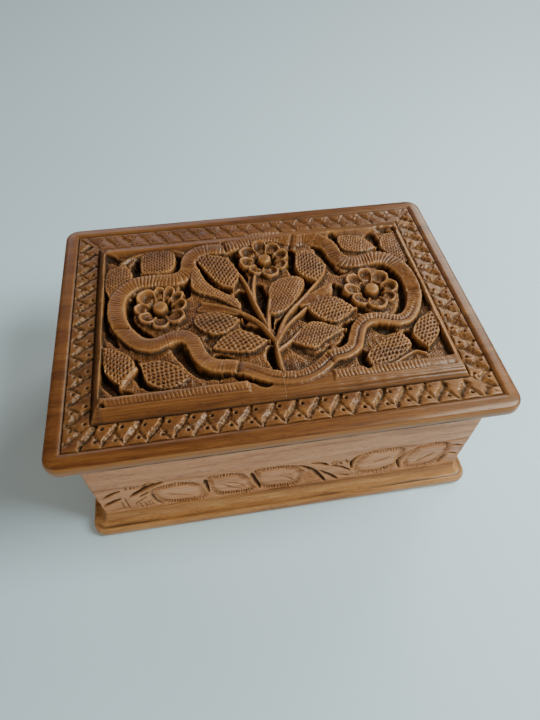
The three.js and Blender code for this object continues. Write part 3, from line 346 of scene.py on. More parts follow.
WALL_LEAVES: tuple[Line, ...] = (
    ((-50, 13), (-46, 15.6), (-41, 16.6), (-36, 15.6), (-32.8, 12), (-31.6, 7.5), (-32, 2), (-37, 0.9),
        (-42, 1.2), (-46.5, 3), (-49, 7)),
    ((-28.6, 17.4), (-24, 18), (-18.6, 17.6), (-15.6, 14), (-14, 9), (-13, 3.6), (-15, 1.4), (-20, 1.6),
        (-25.6, 2.8), (-28.4, 6.4), (-29.4, 12)),
    ((-11.4, 17.4), (-5, 18.2), (0.6, 17.2), (4, 14.4), (5.4, 10), (5, 5), (2.4, 1.6), (-3, 1.4), (-8, 2.4),
        (-10.4, 6), (-12, 11)),
    ((31, 18.6), (36, 19.4), (43, 19), (44.6, 16), (43.6, 12), (43, 7), (40, 3.4), (34, 2.6), (29, 3.6),
        (26.8, 8), (27.2, 13)),
    ((52, 18.4), (57, 19), (61.4, 17.6), (62.6, 13), (61.6, 7), (59, 2.6), (53.6, 1.6), (48.4, 2.8),
        (46.8, 8), (48.4, 14)),
)
WALL_STROKES: tuple[Stroke, ...] = (
    Stroke(((-67, 13.2), (-63, 16.2), (-60.2, 17.6)), 1.7, 1.1),
    Stroke(((-68.1, 6.5), (-64.4, 9.4), (-61, 11.4)), 2.0, 1.3),
    Stroke(((-67, 1.6), (-62, 1.9), (-57, 1.4)), 1.5, 0.5),
    Stroke(((-57.8, 11.8), (-53, 15.6), (-45, 20.2)), 2.4, 1.6),
    Stroke(((-53, 17), (-50.6, 19.4), (-48, 19.8)), 2.6, 1.3),
    Stroke(((-54.6, 10.6), (-50.6, 13.4)), 1.5, 0.9),
    Stroke(((-61.4, 9), (-61.6, 4), (-61.2, 0.6)), 1.0, 0.35),
    Stroke(((-59.6, 11), (-60, 6), (-59.4, 0.8)), 1.2, 0.4),
    Stroke(((-50.6, 11), (-49.6, 5), (-47.4, 1.6)), 1.8, 0.9),
    Stroke(((-57, 5), (-52, 10)), 1.0, 0.4),
    Stroke(((-46.4, 15.8), (-42, 16.9), (-38.6, 17)), 1.7, 1.3),
    Stroke(((-30.6, 16.4), (-30.4, 11), (-29.8, 5.4)), 1.8, 2.0),
    Stroke(((-13.6, 16.6), (-12.2, 9.6), (-10.2, 2.6)), 2.1, 2.1),
    Stroke(((-45, 10), (-40, 7.4), (-36, 5.4)), 1.2, 0.4),
    Stroke(((-24.6, 11.4), (-21, 7.2), (-16.4, 4)), 1.0, 0.4),
    Stroke(((-22.6, 12), (-18, 9.4), (-15.8, 5)), 0.9, 0.35),
    Stroke(((-3, 11.6), (1, 8), (3, 3.4)), 1.0, 0.45),
    Stroke(((-1.6, 12.6), (2.4, 9.4)), 0.8, 0.3),
    Stroke(((1.6, 18.2), (6, 15.6), (10, 11.2), (13, 5.6), (15.4, 0.8)), 2.4, 1.5),
    Stroke(((9, 17.4), (13, 15.8), (15.6, 13.6)), 2.2, 1.1),
    Stroke(((12.4, 10.6), (16, 6.4), (20.4, 1)), 2.2, 1.1),
    Stroke(((17, 13.4), (21, 10.6), (24.8, 7)), 1.9, 0.9),
    Stroke(((19.4, 5), (25, 2.2)), 1.6, 0.8),
    Stroke(((21.6, 16.6), (23.4, 13.4)), 2.0, 0.7),
    Stroke(((32.6, 20), (28.6, 18.8), (25.4, 14.8), (25.4, 8)), 2.6, 2.2),
    Stroke(((52, 19.4), (48.4, 17.6), (46.2, 13.6), (44.4, 8.6), (45.6, 2.4)), 2.3, 2.2),
    Stroke(((33.6, 11), (37, 12.4), (39.4, 14)), 2.2, 0.35),
    Stroke(((57.8, 12), (54.4, 8.6), (51.4, 6)), 1.5, 0.7),
    Stroke(((63.4, 9), (63, 6), (61.6, 2.4)), 2.0, 1.6),
    Stroke(((63.4, 16.6), (68, 14.8)), 1.4, 0.8),
    Stroke(((63.4, 10), (68, 8)), 1.4, 0.8),
)
WALL_TEETH: tuple[Teeth, ...] = (
    Teeth(((4.6, 13), (7.4, 8), (9.4, 1.2)), 1.9, 1.5, 0.9),
    Teeth(((8.4, 11), (11, 6), (12.6, 1)), 1.5, 1.4, 0.9),
    Teeth(((16.6, 16), (20.6, 14.4), (24, 16.4)), 1.8, 1.5, 0.6),
    Teeth(((21, 4), (27, 3.4), (31, 1)), 1.5, 1.4, 0.6),
    Teeth(((-59, 18.9), (-49.6, 18.7)), 1.5, 1.3, 0.8),
    Teeth(((-56.6, 3), (-50.6, 4.4)), 2.4, 1.5, 0.5),
    Teeth(((34, 1), (44, 1)), 0.8, 1.4, 0.6),
)
CARVED_HEIGHT = 20.4
LEAF_CUT_PITCH = 1.05

# Shape helpers


def smoothstep(value: np.ndarray) -> np.ndarray:
    """Eases values from 0 to 1: three times the square less twice the cube of each clipped value."""
    clipped = np.clip(value, 0, 1)
    return clipped * clipped * (3 - 2 * clipped)


def smooth_line(points: Sequence[Sequence[float]], steps: int, closed: bool = False) -> np.ndarray:
    """A Catmull-Rom line: each span is the cubic that leaves and meets its ends along the line between their
    neighbours.

    Args:
        points: the points to pass through.
        steps: pieces to each span.
        closed: whether the line returns to its start.

    Returns:
        The line's points, without a copy of the first where it is closed.
    """
    here = np.asarray(points, float)
    if closed:
        before, after, beyond = (np.roll(here, shift, 0) for shift in (1, -1, -2))
    else:
        longer = np.vstack((2 * here[0] - here[1], here, 2 * here[-1] - here[-2]))
        before, here, after, beyond = longer[:-3], longer[1:-2], longer[2:-1], longer[3:]
    t = (np.arange(steps) / steps)[None, :, None]
    before, here, after, beyond = (rows[:, None, :] for rows in (before, here, after, beyond))
    line = here + 0.5 * (
        (after - before) * t
        + (2 * before - 5 * here + 4 * after - beyond) * t**2
        + (3 * here - before - 3 * after + beyond) * t**3
    )
    line = line.reshape(-1, line.shape[-1])
    return line if closed else np.vstack((line, np.asarray(points[-1], float)))


def value_noise(x: np.ndarray, y: np.ndarray, spacing: float, seed: int) -> np.ndarray:
    """Smooth noise: random heights on a square lattice, eased from each lattice point to the next.

    Args:
        x: places along the first direction.
        y: places along the second direction.
        spacing: the lattice's pitch.
        seed: which random heights are used.

    Returns:
        Noise from -1 to 1 at each place.
    """
    size = 64
    heights = np.random.default_rng(seed).uniform(-1, 1, (size, size))
    u, v = x / spacing, y / spacing
    i, j = np.floor(u).astype(int), np.floor(v).astype(int)
    fu, fv = smoothstep(u - i), smoothstep(v - j)
    low, high = (
        heights[row % size, j % size] * (1 - fv) + heights[row % size, (j + 1) % size] * fv
        for row in (i, i + 1)
    )
    return low * (1 - fu) + high * fu


def punches(x: np.ndarray, y: np.ndarray, marks: Marks, angle: float, seed: int) -> np.ndarray:
    """Staggered rows of oval punch marks, each a little out of place as by hand.

    Args:
        x: places along x.
        y: places along y.
        marks: the marks' sizes.
        angle: direction in which they are long, in degrees.
        seed: which small misplacements are used.

    Returns:
        0 between the marks, rising to 1 in the middle of each: one less the square of the share of the way
        from the middle to the rim.
    """
    mark = marks.value
    turn = math.radians(angle)
    along = x * math.cos(turn) + y * math.sin(turn)
    across = y * math.cos(turn) - x * math.sin(turn)
    sway = mark.sway * mark.row_pitch
    along = along + sway * value_noise(x, y, 1.5 * mark.pitch, seed)
    across = across + sway * value_noise(x, y, 1.5 * mark.row_pitch, seed + 1)
    row = np.round(across / mark.row_pitch)
    shifted = along / mark.pitch - 0.5 * np.mod(row, 2)
    off_along = (shifted - np.round(shifted)) * mark.pitch
    off_across = across - row * mark.row_pitch
    return np.clip(1 - (2 * off_along / mark.length) ** 2 - (2 * off_across / mark.width) ** 2, 0, 1)


def nearest(x: np.ndarray, y: np.ndarray, line: np.ndarray) -> tuple[np.ndarray, np.ndarray, np.ndarray]:
    """How places lie along a line of straight pieces.

    Args:
        x: places along x.
        y: places along y.
        line: the line's points.

    Returns:
        The distance to the line, the place along it as a share of its length, and the side: 1 left, -1 right.
    """
    lengths = np.hypot(*np.diff(line[:, :2], axis=0).T)
    starts = np.concatenate(((0,), np.cumsum(lengths)))
    distance = np.full(np.broadcast(x, y).shape, np.inf)
    share = np.zeros_like(distance)
    side = np.ones_like(distance)
    for (ax, ay), (bx, by), length, start in zip(line[:-1, :2], line[1:, :2], lengths, starts, strict=False):
        dx, dy = (bx - ax) / length, (by - ay) / length
        along = np.clip((x - ax) * dx + (y - ay) * dy, 0, length)
        here = np.hypot(x - ax - along * dx, y - ay - along * dy)
        closer = here < distance
        distance = np.where(closer, here, distance)
        share = np.where(closer, (start + along) / starts[-1], share)
        side = np.where(closer, np.sign(dx * (y - ay) - dy * (x - ax) + 1e-12), side)
    return distance, share, side


def outside(x: np.ndarray, y: np.ndarray, outline: np.ndarray) -> np.ndarray:
    """Signed distance to a closed outline.

    Args:
        x: places along x.
        y: places along y.
        outline: the outline's points, without a copy of the first.

    Returns:
        The distance, negative inside, where a ray along +X crosses the outline an odd number of times.
    """
    ends = np.roll(outline, -1, 0)
    inside = np.zeros(np.broadcast(x, y).shape, bool)
    for (ax, ay), (bx, by) in zip(outline, ends, strict=True):
        crosses = (ay > y) != (by > y)
        rise = by - ay if by != ay else 1e-12
        inside ^= crosses & (x < ax + (y - ay) * (bx - ax) / rise)
    distance, _, _ = nearest(x, y, np.vstack((outline, outline[:1])))
    return np.where(inside, -distance, distance)


def blurred(heights: np.ndarray, step: float, radius: float) -> np.ndarray:
    """Heights smoothed by a Gaussian, as a product with its transform.

    Args:
        heights: a grid of heights.
        step: distance between neighbours, in both directions.
        radius: the Gaussian's standard deviation.

    Returns:
        The smoothed grid. The grid is mirrored past its edges first.
    """
    margin = int(3 * radius / step)
    wide = np.pad(heights, margin, mode="reflect")
    u = np.fft.fftfreq(wide.shape[0], step)[:, None]
    v = np.fft.rfftfreq(wide.shape[1], step)[None, :]
    gain = np.exp(-2 * (math.pi * radius) ** 2 * (u * u + v * v))
    smooth = np.fft.irfft2(np.fft.rfft2(wide) * gain, wide.shape)
    return smooth[margin:-margin, margin:-margin]


# How far round a place is looked at, to tell a recess, which gets painted shade, from an edge that stands
# proud, which gets painted highlights.
BROAD_REACH = 1.6
CLOSE_REACH = 0.55
# A slope, as rise over run, from which steep sides get painted shade, and how much steeper it has to be to
# get all of it.
SHADED_SLOPE = 1.2
SHADED_SLOPE_SPAN = 4


def shade_and_rubbing(heights: np.ndarray, step: float) -> dict[str, np.ndarray]:
    """Painted shade and dust in recesses and on steep sides, and rubbing and painted highlights on what
    stands proud.

    Args:
        heights: a grid of heights, higher outwards.
        step: distance between neighbours.

    Returns:
        Values from 0 to 1, the first for painted shade and dust and the second for rubbing and painted
        highlights:
        weighted sums of how far a place lies below the smoothed heights round it, and for the first also of
        how steep it is.
    """
    broad, close = (blurred(heights, step, reach) - heights for reach in (BROAD_REACH, CLOSE_REACH))
    steep = smoothstep((np.hypot(*np.gradient(heights, step)) - SHADED_SLOPE) / SHADED_SLOPE_SPAN)
    shade_and_dust = np.clip(0.62 * broad + 1.5 * close + 0.85 * steep, 0, 1)
    rubbed_and_highlit = np.clip(-0.35 * broad - 1.3 * close, 0, 1)
    return {"shade_and_dust": shade_and_dust, "rubbed_and_highlit": rubbed_and_highlit}


@dataclass(frozen=True)
class Shell:
    """A closed shell of quads, made of rings of points that are joined one to the next.

    Attributes:
        rings: points in millimetres, as (rings, points in each, 3).
        closed: whether the last ring joins the first. If not, both ends are capped.
        flat: which quads are shaded flat, in a shape that broadcasts to (steps between rings, points).
        marks: values for the material at every point, by name.
    """

    rings: np.ndarray
    closed: bool = False
    flat: np.ndarray = field(default_factory=lambda: np.zeros((1, 1), bool))
    marks: dict[str, np.ndarray] = field(default_factory=dict)


def signed_volume(points: np.ndarray, faces: Sequence[np.ndarray]) -> float:
    """Six times the volume inside the faces, negative where they face inwards.

    Args:
        points: all points.
        faces: arrays of point numbers, each with all faces of one size.

    Returns:
        The sum of the triple products of each face's fan of triangles.
    """
    total = 0.0
    for group in faces:
        first = points[group[:, 0]]
        for k in range(1, group.shape[1] - 1):
            total += np.einsum("ij,ij->", first, np.cross(points[group[:, k]], points[group[:, k + 1]]))
    return total


def mesh_of(name: str, shells: Sequence[Shell]) -> Mesh:
    """One mesh from closed shells, with every face turned outwards.

    Args:
        name: the mesh's name.
        shells: the shells to join.

    Returns:
        The mesh, in metres.
    """
    points, faces, flats = [], [], []
    marks: dict[str, list[np.ndarray]] = {key: [] for shell in shells for key in shell.marks}
    for shell in shells:
        rows, columns, _ = shell.rings.shape
        own = shell.rings.reshape(-1, 3)
        index = np.arange(rows * columns).reshape(rows, columns)
        around = np.vstack((index, index[:1])) if shell.closed else index
        low, high = around[:-1], around[1:]
        quads = np.stack((low, np.roll(low, -1, 1), np.roll(high, -1, 1), high), -1).reshape(-1, 4)
        caps = [] if shell.closed else [index[:1, ::-1], index[-1:]]
        if signed_volume(own - own.mean(0), [quads, *caps]) < 0:
            quads, caps = quads[:, ::-1], [cap[:, ::-1] for cap in caps]
        offset = sum(len(block) for block in points)
        points.append(own)
        faces += (quads + offset).tolist() + [(cap[0] + offset).tolist() for cap in caps]
        flats.append(np.broadcast_to(shell.flat, low.shape).ravel())
        flats.append(np.ones(len(caps), bool))
        for key, blocks in marks.items():
            blocks.append(np.broadcast_to(shell.marks.get(key, 0.0), (rows, columns)).ravel())
    mesh = bpy.data.meshes.new(name)
    mesh.from_pydata((np.vstack(points) * MM).tolist(), [], faces)
    mesh.polygons.foreach_set("use_smooth", ~np.concatenate(flats))
    for key, blocks in marks.items():
        layer = mesh.attributes.new(key, "FLOAT", "POINT")
        layer.data.foreach_set("value", np.concatenate(blocks).astype(np.float32))
    mesh.update()
    return mesh


def cut_from(target: Object, cutter: Shell) -> None:
    """Cuts a closed shell out of an object's mesh.

    Args:
        target: the object to cut.
        cutter: the shell to take away.
    """
    tool = bpy.data.objects.new("cutter", mesh_of("cutter", [cutter]))
    bpy.context.scene.collection.objects.link(tool)
    modifier = target.modifiers.new("cut", "BOOLEAN")
    modifier.operation = "DIFFERENCE"
    modifier.solver = "EXACT"
    modifier.object = tool
    ready = target.evaluated_get(bpy.context.evaluated_depsgraph_get())
    result = bpy.data.meshes.new_from_object(ready)
    target.modifiers.remove(modifier)
    old = target.data
    target.data = result
    bpy.data.meshes.remove(old)
    bpy.data.objects.remove(tool)


def join_on(target: Object, shells: Sequence[Shell]) -> None:
    """Adds closed shells to an object's mesh.

    Args:
        target: the object to add to.
        shells: the shells.
    """
    more = mesh_of("more", shells)
    both = bmesh.new()
    both.from_mesh(target.data)
    both.from_mesh(more)
    both.to_mesh(target.data)
    both.free()
    bpy.data.meshes.remove(more)


@dataclass(frozen=True)
class Finish:
    """What a piece is made of: its material, and a slot name that is not used."""

    material: Material
    slot: str


def add_piece(
    name: str,
    shells: Sequence[Shell],
    finish: Finish,
    body: str,
    replaces: Sequence[str] = (),
    cutters: Sequence[Shell] = (),
) -> Object:
    """Makes one piece of the box and gives it to the frame.

    Args:
        name: the piece's name.
        shells: its closed shells, of which only the first is cut.
        finish: what it is made of.
        body: the CAD body that it moves with.
        replaces: CAD nodes that it stands for.
        cutters: shells that are cut out of it.

    Returns:
        The new object.
    """
    piece = bpy.data.objects.new(name, mesh_of(name, shells[:1] if cutters else shells))
    bpy.context.scene.collection.objects.link(piece)
    for cutter in cutters:
        cut_from(piece, cutter)
    if cutters and len(shells) > 1:
        join_on(piece, shells[1:])
    piece.data.materials.clear()
    piece.data.materials.append(finish.material)
    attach(piece, body)
    if replaces:
        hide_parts(*replaces)
    LOG.info("%s: %d faces", name, len(piece.data.polygons))
    return piece


def lathe(profile: Sequence[Point], at: Sequence[float], axis: int = 2, steps: int = 32) -> Shell:
    """A turned solid: the profile's radius times the cosine and sine of the angle, round an axis.

    Args:
        profile: (radius, height) points from one end to the other.
        at: the place of height 0 on the axis.
        axis: 0, 1 or 2 for an axis along x, y or z.
        steps: points round the axis.

    Returns:
        The solid, capped at both ends.
    """
    angle = np.arange(steps) / steps * 2 * math.pi
    radius, height = np.array(profile, float).T[:, :, None]
    rings = np.empty((len(profile), steps, 3))
    rings[..., axis] = height
    rings[..., (axis + 1) % 3] = radius * np.cos(angle)
    rings[..., (axis + 2) % 3] = radius * np.sin(angle)
    return Shell(rings + np.asarray(at, float))


def rounded_loop(half: np.ndarray, radius: np.ndarray, corner_steps: int, side_steps: int) -> np.ndarray:
    """Points round rectangles with rounded corners, anticlockwise.

    Args:
        half: half sizes of each rectangle, as (rectangles, 2).
        radius: corner radius of each rectangle.
        corner_steps: pieces to each corner's quarter circle.
        side_steps: pieces to each straight side.

    Returns:
        Points as (rectangles, points, 2).
    """
    quarter = np.arange(corner_steps + 1) / corner_steps * math.pi / 2
    corners = []
    for turn, signs in enumerate(((1, 1), (-1, 1), (-1, -1), (1, -1))):
        centre = np.array(signs) * (half - radius[:, None])
        angle = quarter + turn * math.pi / 2
        arc = np.stack((np.cos(angle), np.sin(angle)), -1)
        corners.append(centre[:, None, :] + radius[:, None, None] * arc[None])
    loops = []
    for here, following in zip(corners, corners[1:] + corners[:1], strict=True):
        share = (np.arange(1, side_steps) / side_steps)[None, :, None]
        loops += [here, here[:, -1:] * (1 - share) + following[:, :1] * share]
    return np.concatenate(loops, 1)


def board(
    half: np.ndarray,
    rings: Sequence[tuple[float, float, float]],
    corner_steps: int = 12,
    side_steps: int = 40,
) -> np.ndarray:
    """Rings of points round a board, for a shell.

    Args:
        half: the board's half sizes.
        rings: (how far it is set in, height, corner radius) from the underside up.
        corner_steps: pieces to each corner.
        side_steps: pieces to each straight side.

    Returns:
        Points as (rings, points, 3).
    """
    inset, height, radius = np.array(rings, float).T
    flat = rounded_loop(half[None] - inset[:, None], radius, corner_steps, side_steps)
    tall = np.broadcast_to(height[:, None, None], (*flat.shape[:2], 1))
    return np.concatenate((flat, tall), -1)


def backed(face: np.ndarray, back: np.ndarray, marks: dict[str, np.ndarray], closed: bool = False) -> Shell:
    """A carved face made solid: each of its rows is closed by two more points, behind its last and its first.

    Args:
        face: points of the face, as (rows, points in each, 3).
        back: the points behind, as (rows, 2, 3).
        marks: values for the material at the first points of each row, by name. They are 0 at the others.
        closed: whether the last row joins the first.

    Returns:
        The solid, with flat back and edges.
    """
    rings = np.concatenate((face, back), 1)
    flat = np.zeros((1, rings.shape[1]), bool)
    flat[:, -3:] = True
    own = {key: np.pad(value, ((0, 0), (0, rings.shape[1] - value.shape[1]))) for key, value in marks.items()}
    return Shell(rings, closed, flat, own)


def feet(top: np.ndarray, bottom: float) -> np.ndarray:
    """The points at the given height below each row's last and first points."""
    ends = top[:, [-1, 0]].copy()
    ends[..., 2] = bottom
    return ends


class Side(Enum):
    """The four sides, as quarter turns from the front."""

    FRONT = 0
    RIGHT = 1
    BACK = 2
    LEFT = 3

    def half_sizes(self, half: np.ndarray) -> tuple[float, float]:
        """A rectangle's half length along this side, and how far out the side is."""
        return (half[0], half[1]) if self.value % 2 == 0 else (half[1], half[0])

    def place(self, along: np.ndarray, out: np.ndarray, z: np.ndarray) -> np.ndarray:
        """Points given along a side, out from the middle and up.

        Args:
            along: places along the side, to the right seen from outside.
            out: distances out from the middle.
            z: heights.

        Returns:
            The points in the row frame.
        """
        turn = self.value * math.pi / 2
        x = along * math.cos(turn) + out * math.sin(turn)
        y = along * math.sin(turn) - out * math.cos(turn)
        return np.stack(np.broadcast_arrays(x, y, z), -1)


# Materials


def linear(colour: str, alpha: float = 1.0) -> tuple[float, float, float, float]:
    """An sRGB hex colour as linear red, green, blue and alpha.

    Args:
        colour: such as "#95633c".
        alpha: the alpha to give it.

    Returns:
        Four numbers from 0 to 1.
    """
    parts = [int(colour[i : i + 2], 16) / 255 for i in (1, 3, 5)]
    low = 0.04045
    red, green, blue = (p / 12.92 if p <= low else ((p + 0.055) / 1.055) ** 2.4 for p in parts)
    return red, green, blue, alpha


def add_node(
    tree: NodeTree,
    kind: str,
    inputs: dict | None = None,
    stops: Sequence[tuple[float, Sequence[float]]] = (),
    **settings: object,
) -> Node:
    """Adds a node with its settings and links.

    Args:
        tree: the material's node tree.
        kind: the node's type without its "ShaderNode" prefix.
        inputs: by input name or number, a value, a socket to join, or a node whose first output is joined.
        stops: (position, linear colour) of a colour ramp's stops.
        settings: properties of the node.

    Returns:
        The node.
    """
    node = tree.nodes.new(f"ShaderNode{kind}")
    for key, value in settings.items():
        setattr(node, key, value)
    if stops:
        elements = node.color_ramp.elements
        while len(elements) < len(stops):
            elements.new(0.5)
        for element, (position, colour) in zip(elements, stops, strict=True):
            element.position = position
            element.color = colour
    for key, value in (inputs or {}).items():
        source = value.outputs[0] if isinstance(value, Node) else value
        if isinstance(source, NodeSocket):
            tree.links.new(source, node.inputs[key])
        else:
            node.inputs[key].default_value = source
    return node


def new_material(name: str, look: Callable[[NodeTree], dict]) -> Material:
    """A material of one Principled shader.

    Args:
        name: the material's name.
        look: adds what feeds the shader to the node tree, and returns the shader's inputs by name.

    Returns:
        The material.
    """
    material = bpy.data.materials.new(name)
    material.use_nodes = True
    tree = material.node_tree
    tree.nodes.clear()
    shader = add_node(tree, "BsdfPrincipled", look(tree))
    add_node(tree, "OutputMaterial", {"Surface": shader})
    return material


class Grain(Enum):
    """The way the grain or the drawing marks run, as a turn about Z in radians."""

    ALONG_X = 0.0
    ALONG_Y = math.pi / 2


@dataclass(frozen=True)
class Layer:
    """Noise with features of the given sizes, in millimetres along the grain, across it and upwards."""

    cells: tuple[float, float, float]
    detail: float
    distortion: float = 0.0


@dataclass(frozen=True)
class LayeredFinish:
    """A finish drawn from layers of noise.

    Attributes:
        name: the material's name.
        grain: the way the grain runs.
        layers: the layers.
    """

    name: str
    grain: Grain = field(default=Grain.ALONG_X, kw_only=True)
    layers: ClassVar[tuple[Layer, ...]] = ()

    def dress(self, tree: NodeTree, noises: Sequence[Node]) -> dict:
        """Turns the layers into the shader's inputs, by name."""
        raise NotImplementedError

    def look(self, tree: NodeTree) -> dict:
        """Adds the layers, mapped so that their sizes are in millimetres on the piece, and dresses them.

        Args:
            tree: the material's node tree.

        Returns:
            The shader's inputs by name.
        """
        coordinates = add_node(tree, "TexCoord").outputs["Object"]
        turned = {"Vector": coordinates, "Rotation": (0, 0, self.grain.value), "Scale": (1 / MM,) * 3}
        place = add_node(tree, "Mapping", turned)
        noises = []
        for layer in self.layers:
            scale = tuple(1 / size for size in layer.cells)
            stretched = add_node(tree, "Mapping", {"Vector": place, "Scale": scale})
            inputs = {"Vector": stretched, "Scale": 1.0, "Detail": layer.detail, "Roughness": 0.55}
            noises.append(add_node(tree, "TexNoise", inputs | {"Distortion": layer.distortion}))
        return self.dress(tree, noises)

    def build(self) -> Material:
        """Makes the material."""
        return new_material(self.name, self.look)


BLACK = (0, 0, 0, 1)
WHITE = (1, 1, 1, 1)


@dataclass(frozen=True)
class WoodFinish(LayeredFinish):
    """Waxed hardwood, planed and carved by hand.

    Attributes:
        dark: colour of its dark streaks, as sRGB hex.
        mid: its usual colour.
        light: colour of its light streaks.
        roughness: of the waxed face.
    """

    dark: str = "#3a1e0d"
    mid: str = "#663a1a"
    light: str = "#855629"
    roughness: float = 0.34
    layers: ClassVar[tuple[Layer, ...]] = (
        # Growth rings cut lengthwise: streaks a few millimetres wide and many times longer
        Layer((70, 5.5, 5.5), 3, 0.8),
        # Fibres: fine lines that break the streaks up
        Layer((9, 0.45, 0.45), 2),
        # Open pores: short dark dashes along the grain
        Layer((2.6, 0.28, 0.28), 1),
        # Blotches where oil sank in unevenly
        Layer((26, 16, 16), 2),
    )

    def dress(self, tree: NodeTree, noises: Sequence[Node]) -> dict:
        """Colours the grain, then lays pores, blotches, rubbed edges with painted highlights, and painted
        shade with dust over it.

        Args:
            tree: the material's node tree.
            noises: the layers.

        Returns:
            The shader's inputs by name.
        """
        streaks, fibres, pores, blotches = noises
        broad = add_node(tree, "Math", {0: streaks, 1: 0.75}, operation="MULTIPLY")
        tone = add_node(tree, "Math", {0: fibres, 1: 0.45, 2: broad}, operation="MULTIPLY_ADD")
        tones = ((0.38, linear(self.dark)), (0.56, linear(self.mid)), (0.82, linear(self.light)))
        wood = add_node(tree, "ValToRGB", {"Fac": tone}, tones).outputs["Color"]
        open_pores = add_node(tree, "ValToRGB", {"Fac": pores}, ((0.6, BLACK), (0.72, WHITE)))
        rubbed_and_highlit, raw, shade_and_dust = (
            add_node(tree, "Attribute", attribute_name=mark).outputs["Fac"]
            for mark in ("rubbed_and_highlit", "raw", "shade_and_dust")
        )
        overlays = (
            (open_pores, 0.65, "#3a1f10", "MIX"),
            (blotches, 0.35, "#7a4a28", "MULTIPLY"),
            # Edges that stand proud are rubbed bright, and get painted highlights
            (rubbed_and_highlit, 0.45, "#b9824a", "MIX"),
            # Chips of the border are cut into bare wood, paler and fuzzy
            (raw, 0.45, "#a8753f", "MIX"),
            # Painted shade in recesses and on steep sides, where old wax and dust lie too
            (shade_and_dust, 0.9, "#140904", "MIX"),
        )
        for mask, strength, colour, blend in overlays:
            share = add_node(tree, "Math", {0: mask, 1: strength}, operation="MULTIPLY")
            layers = {0: share, 6: wood, 7: linear(colour)}
            wood = add_node(tree, "Mix", layers, data_type="RGBA", blend_type=blend).outputs[2]
        # Blotches are a little duller, and the shaded, dusty recesses much more so
        patchy = add_node(tree, "Math", {0: blotches, 1: 0.1, 2: self.roughness}, operation="MULTIPLY_ADD")
        rough = add_node(tree, "Math", {0: shade_and_dust, 1: 0.3, 2: patchy}, operation="MULTIPLY_ADD")
        relief = add_node(tree, "Math", {0: open_pores, 1: -0.6, 2: fibres}, operation="MULTIPLY_ADD")
        # A thin film of polished wax gives the small sharp glints, and hollows have none of it
        film = add_node(tree, "Math", {0: shade_and_dust, 1: -0.18, 2: 0.18}, operation="MULTIPLY_ADD")
        return {
            "Base Color": wood,
            "Roughness": rough,
            "Normal": add_node(tree, "Bump", {"Height": relief, "Strength": 0.5, "Distance": 0.08 * MM}),
            "IOR": 1.45,
            # The oiled fibres under the wax give the gloss a golden cast
            "Specular IOR Level": 0.55,
            "Specular Tint": linear("#f6dab4"),
            "Coat Weight": film,
            "Coat Roughness": 0.16,
        }


@dataclass(frozen=True)
class MetalFinish(LayeredFinish):
    """Drawn or rolled metal that has dulled with handling.

    Attributes:
        bright: its colour where it is clean, as sRGB hex.
        dull: its colour where it has tarnished.
        roughness: where it is clean.
    """

    bright: str
    dull: str
    roughness: float
    layers: ClassVar[tuple[Layer, ...]] = (
        # Tarnish in patches a few millimetres wide
        Layer((3, 3, 3), 4),
        # Fine drawing marks along X
        Layer((6, 0.12, 0.12), 1),
    )

    def dress(self, tree: NodeTree, noises: Sequence[Node]) -> dict:
        """Lays a patchy film of tarnish over clean metal.

        Args:
            tree: the material's node tree.
            noises: the layers.

        Returns:
            The shader's inputs by name.
        """
        patches, lines = noises
        film = add_node(tree, "ValToRGB", {"Fac": patches}, ((0.42, BLACK), (0.64, WHITE)))
        tones = {0: film, 6: linear(self.bright), 7: linear(self.dull)}
        streaky = add_node(tree, "Math", {0: lines, 1: 0.1, 2: self.roughness}, operation="MULTIPLY_ADD")
        return {
            "Base Color": add_node(tree, "Mix", tones, data_type="RGBA").outputs[2],
            "Roughness": add_node(tree, "Math", {0: film, 1: 0.22, 2: streaky}, operation="MULTIPLY_ADD"),
            "Normal": add_node(tree, "Bump", {"Height": lines, "Strength": 0.3, "Distance": 0.01 * MM}),
            "Metallic": 1.0,
        }


@dataclass(frozen=True)
class Palette:
    """The finishes of all pieces."""

    lid: Finish
    wall: Finish
    side_wall: Finish
    base: Finish
    brass: Finish
    brass_screw: Finish
    pin: Finish
    steel_screw: Finish


def make_palette() -> Palette:
    """Makes every material of the box.

    Returns:
        The finishes. The walls' wood is paler and drier than the lid's, and the base's is golden.
    """
    brass = MetalFinish("dulled_rolled_brass", "#c9a25a", "#7d5f30", 0.28).build()
    steel = MetalFinish("dulled_drawn_steel", "#a9a6a0", "#5f5b55", 0.32).build()
    lid = WoodFinish("waxed_dark_hardwood")
    wall_tones = {"dark": "#83543a", "mid": "#b67e54", "light": "#d3a074", "roughness": 0.45}
    wall = WoodFinish("waxed_pale_hardwood_along_x", **wall_tones)
    side = WoodFinish("waxed_pale_hardwood_along_y", grain=Grain.ALONG_Y, **wall_tones)
    base = WoodFinish("waxed_golden_hardwood", "#6f4524", "#a06e3e", "#c2945c")
    return Palette(
        lid=Finish(lid.build(), "lid_wood"),
        wall=Finish(wall.build(), "wall_wood"),
        side_wall=Finish(side.build(), "wall_wood"),
        base=Finish(base.build(), "base_wood"),
        brass=Finish(brass, "hinge_brass"),
        brass_screw=Finish(brass, "screw_brass"),
        pin=Finish(steel, "pin_steel"),
        steel_screw=Finish(steel, "screw_steel"),
    )


# Carving of the lid

# How steeply motifs are cut down to the ground, as rise over run.
WALL_SLOPE = 8.5
GROUND_DEPTH = 2.1
# Where the notched strip along the panel's front runs, and the pitch of its notches.
ROPE_SPANS: Line = ((-59, -11), (16, 59))
ROPE_PITCH = 1.3
# Tool marks along the bevel, each as (share of the way down it, seed), and how deep they are.
BEVEL_STREAKS = ((0.22, 94), (0.42, 92), (0.66, 93))
STREAK_DEPTH = 0.22
# How much lower and narrower the frame is on the left.
LEFT_FRAME_LOSS = 0.5
PIT_SLOPE_WIDTH = 1.1
RIBBON_NOTCH_PITCH = 1.32
RIBBON_FINE_PITCH = 1.02
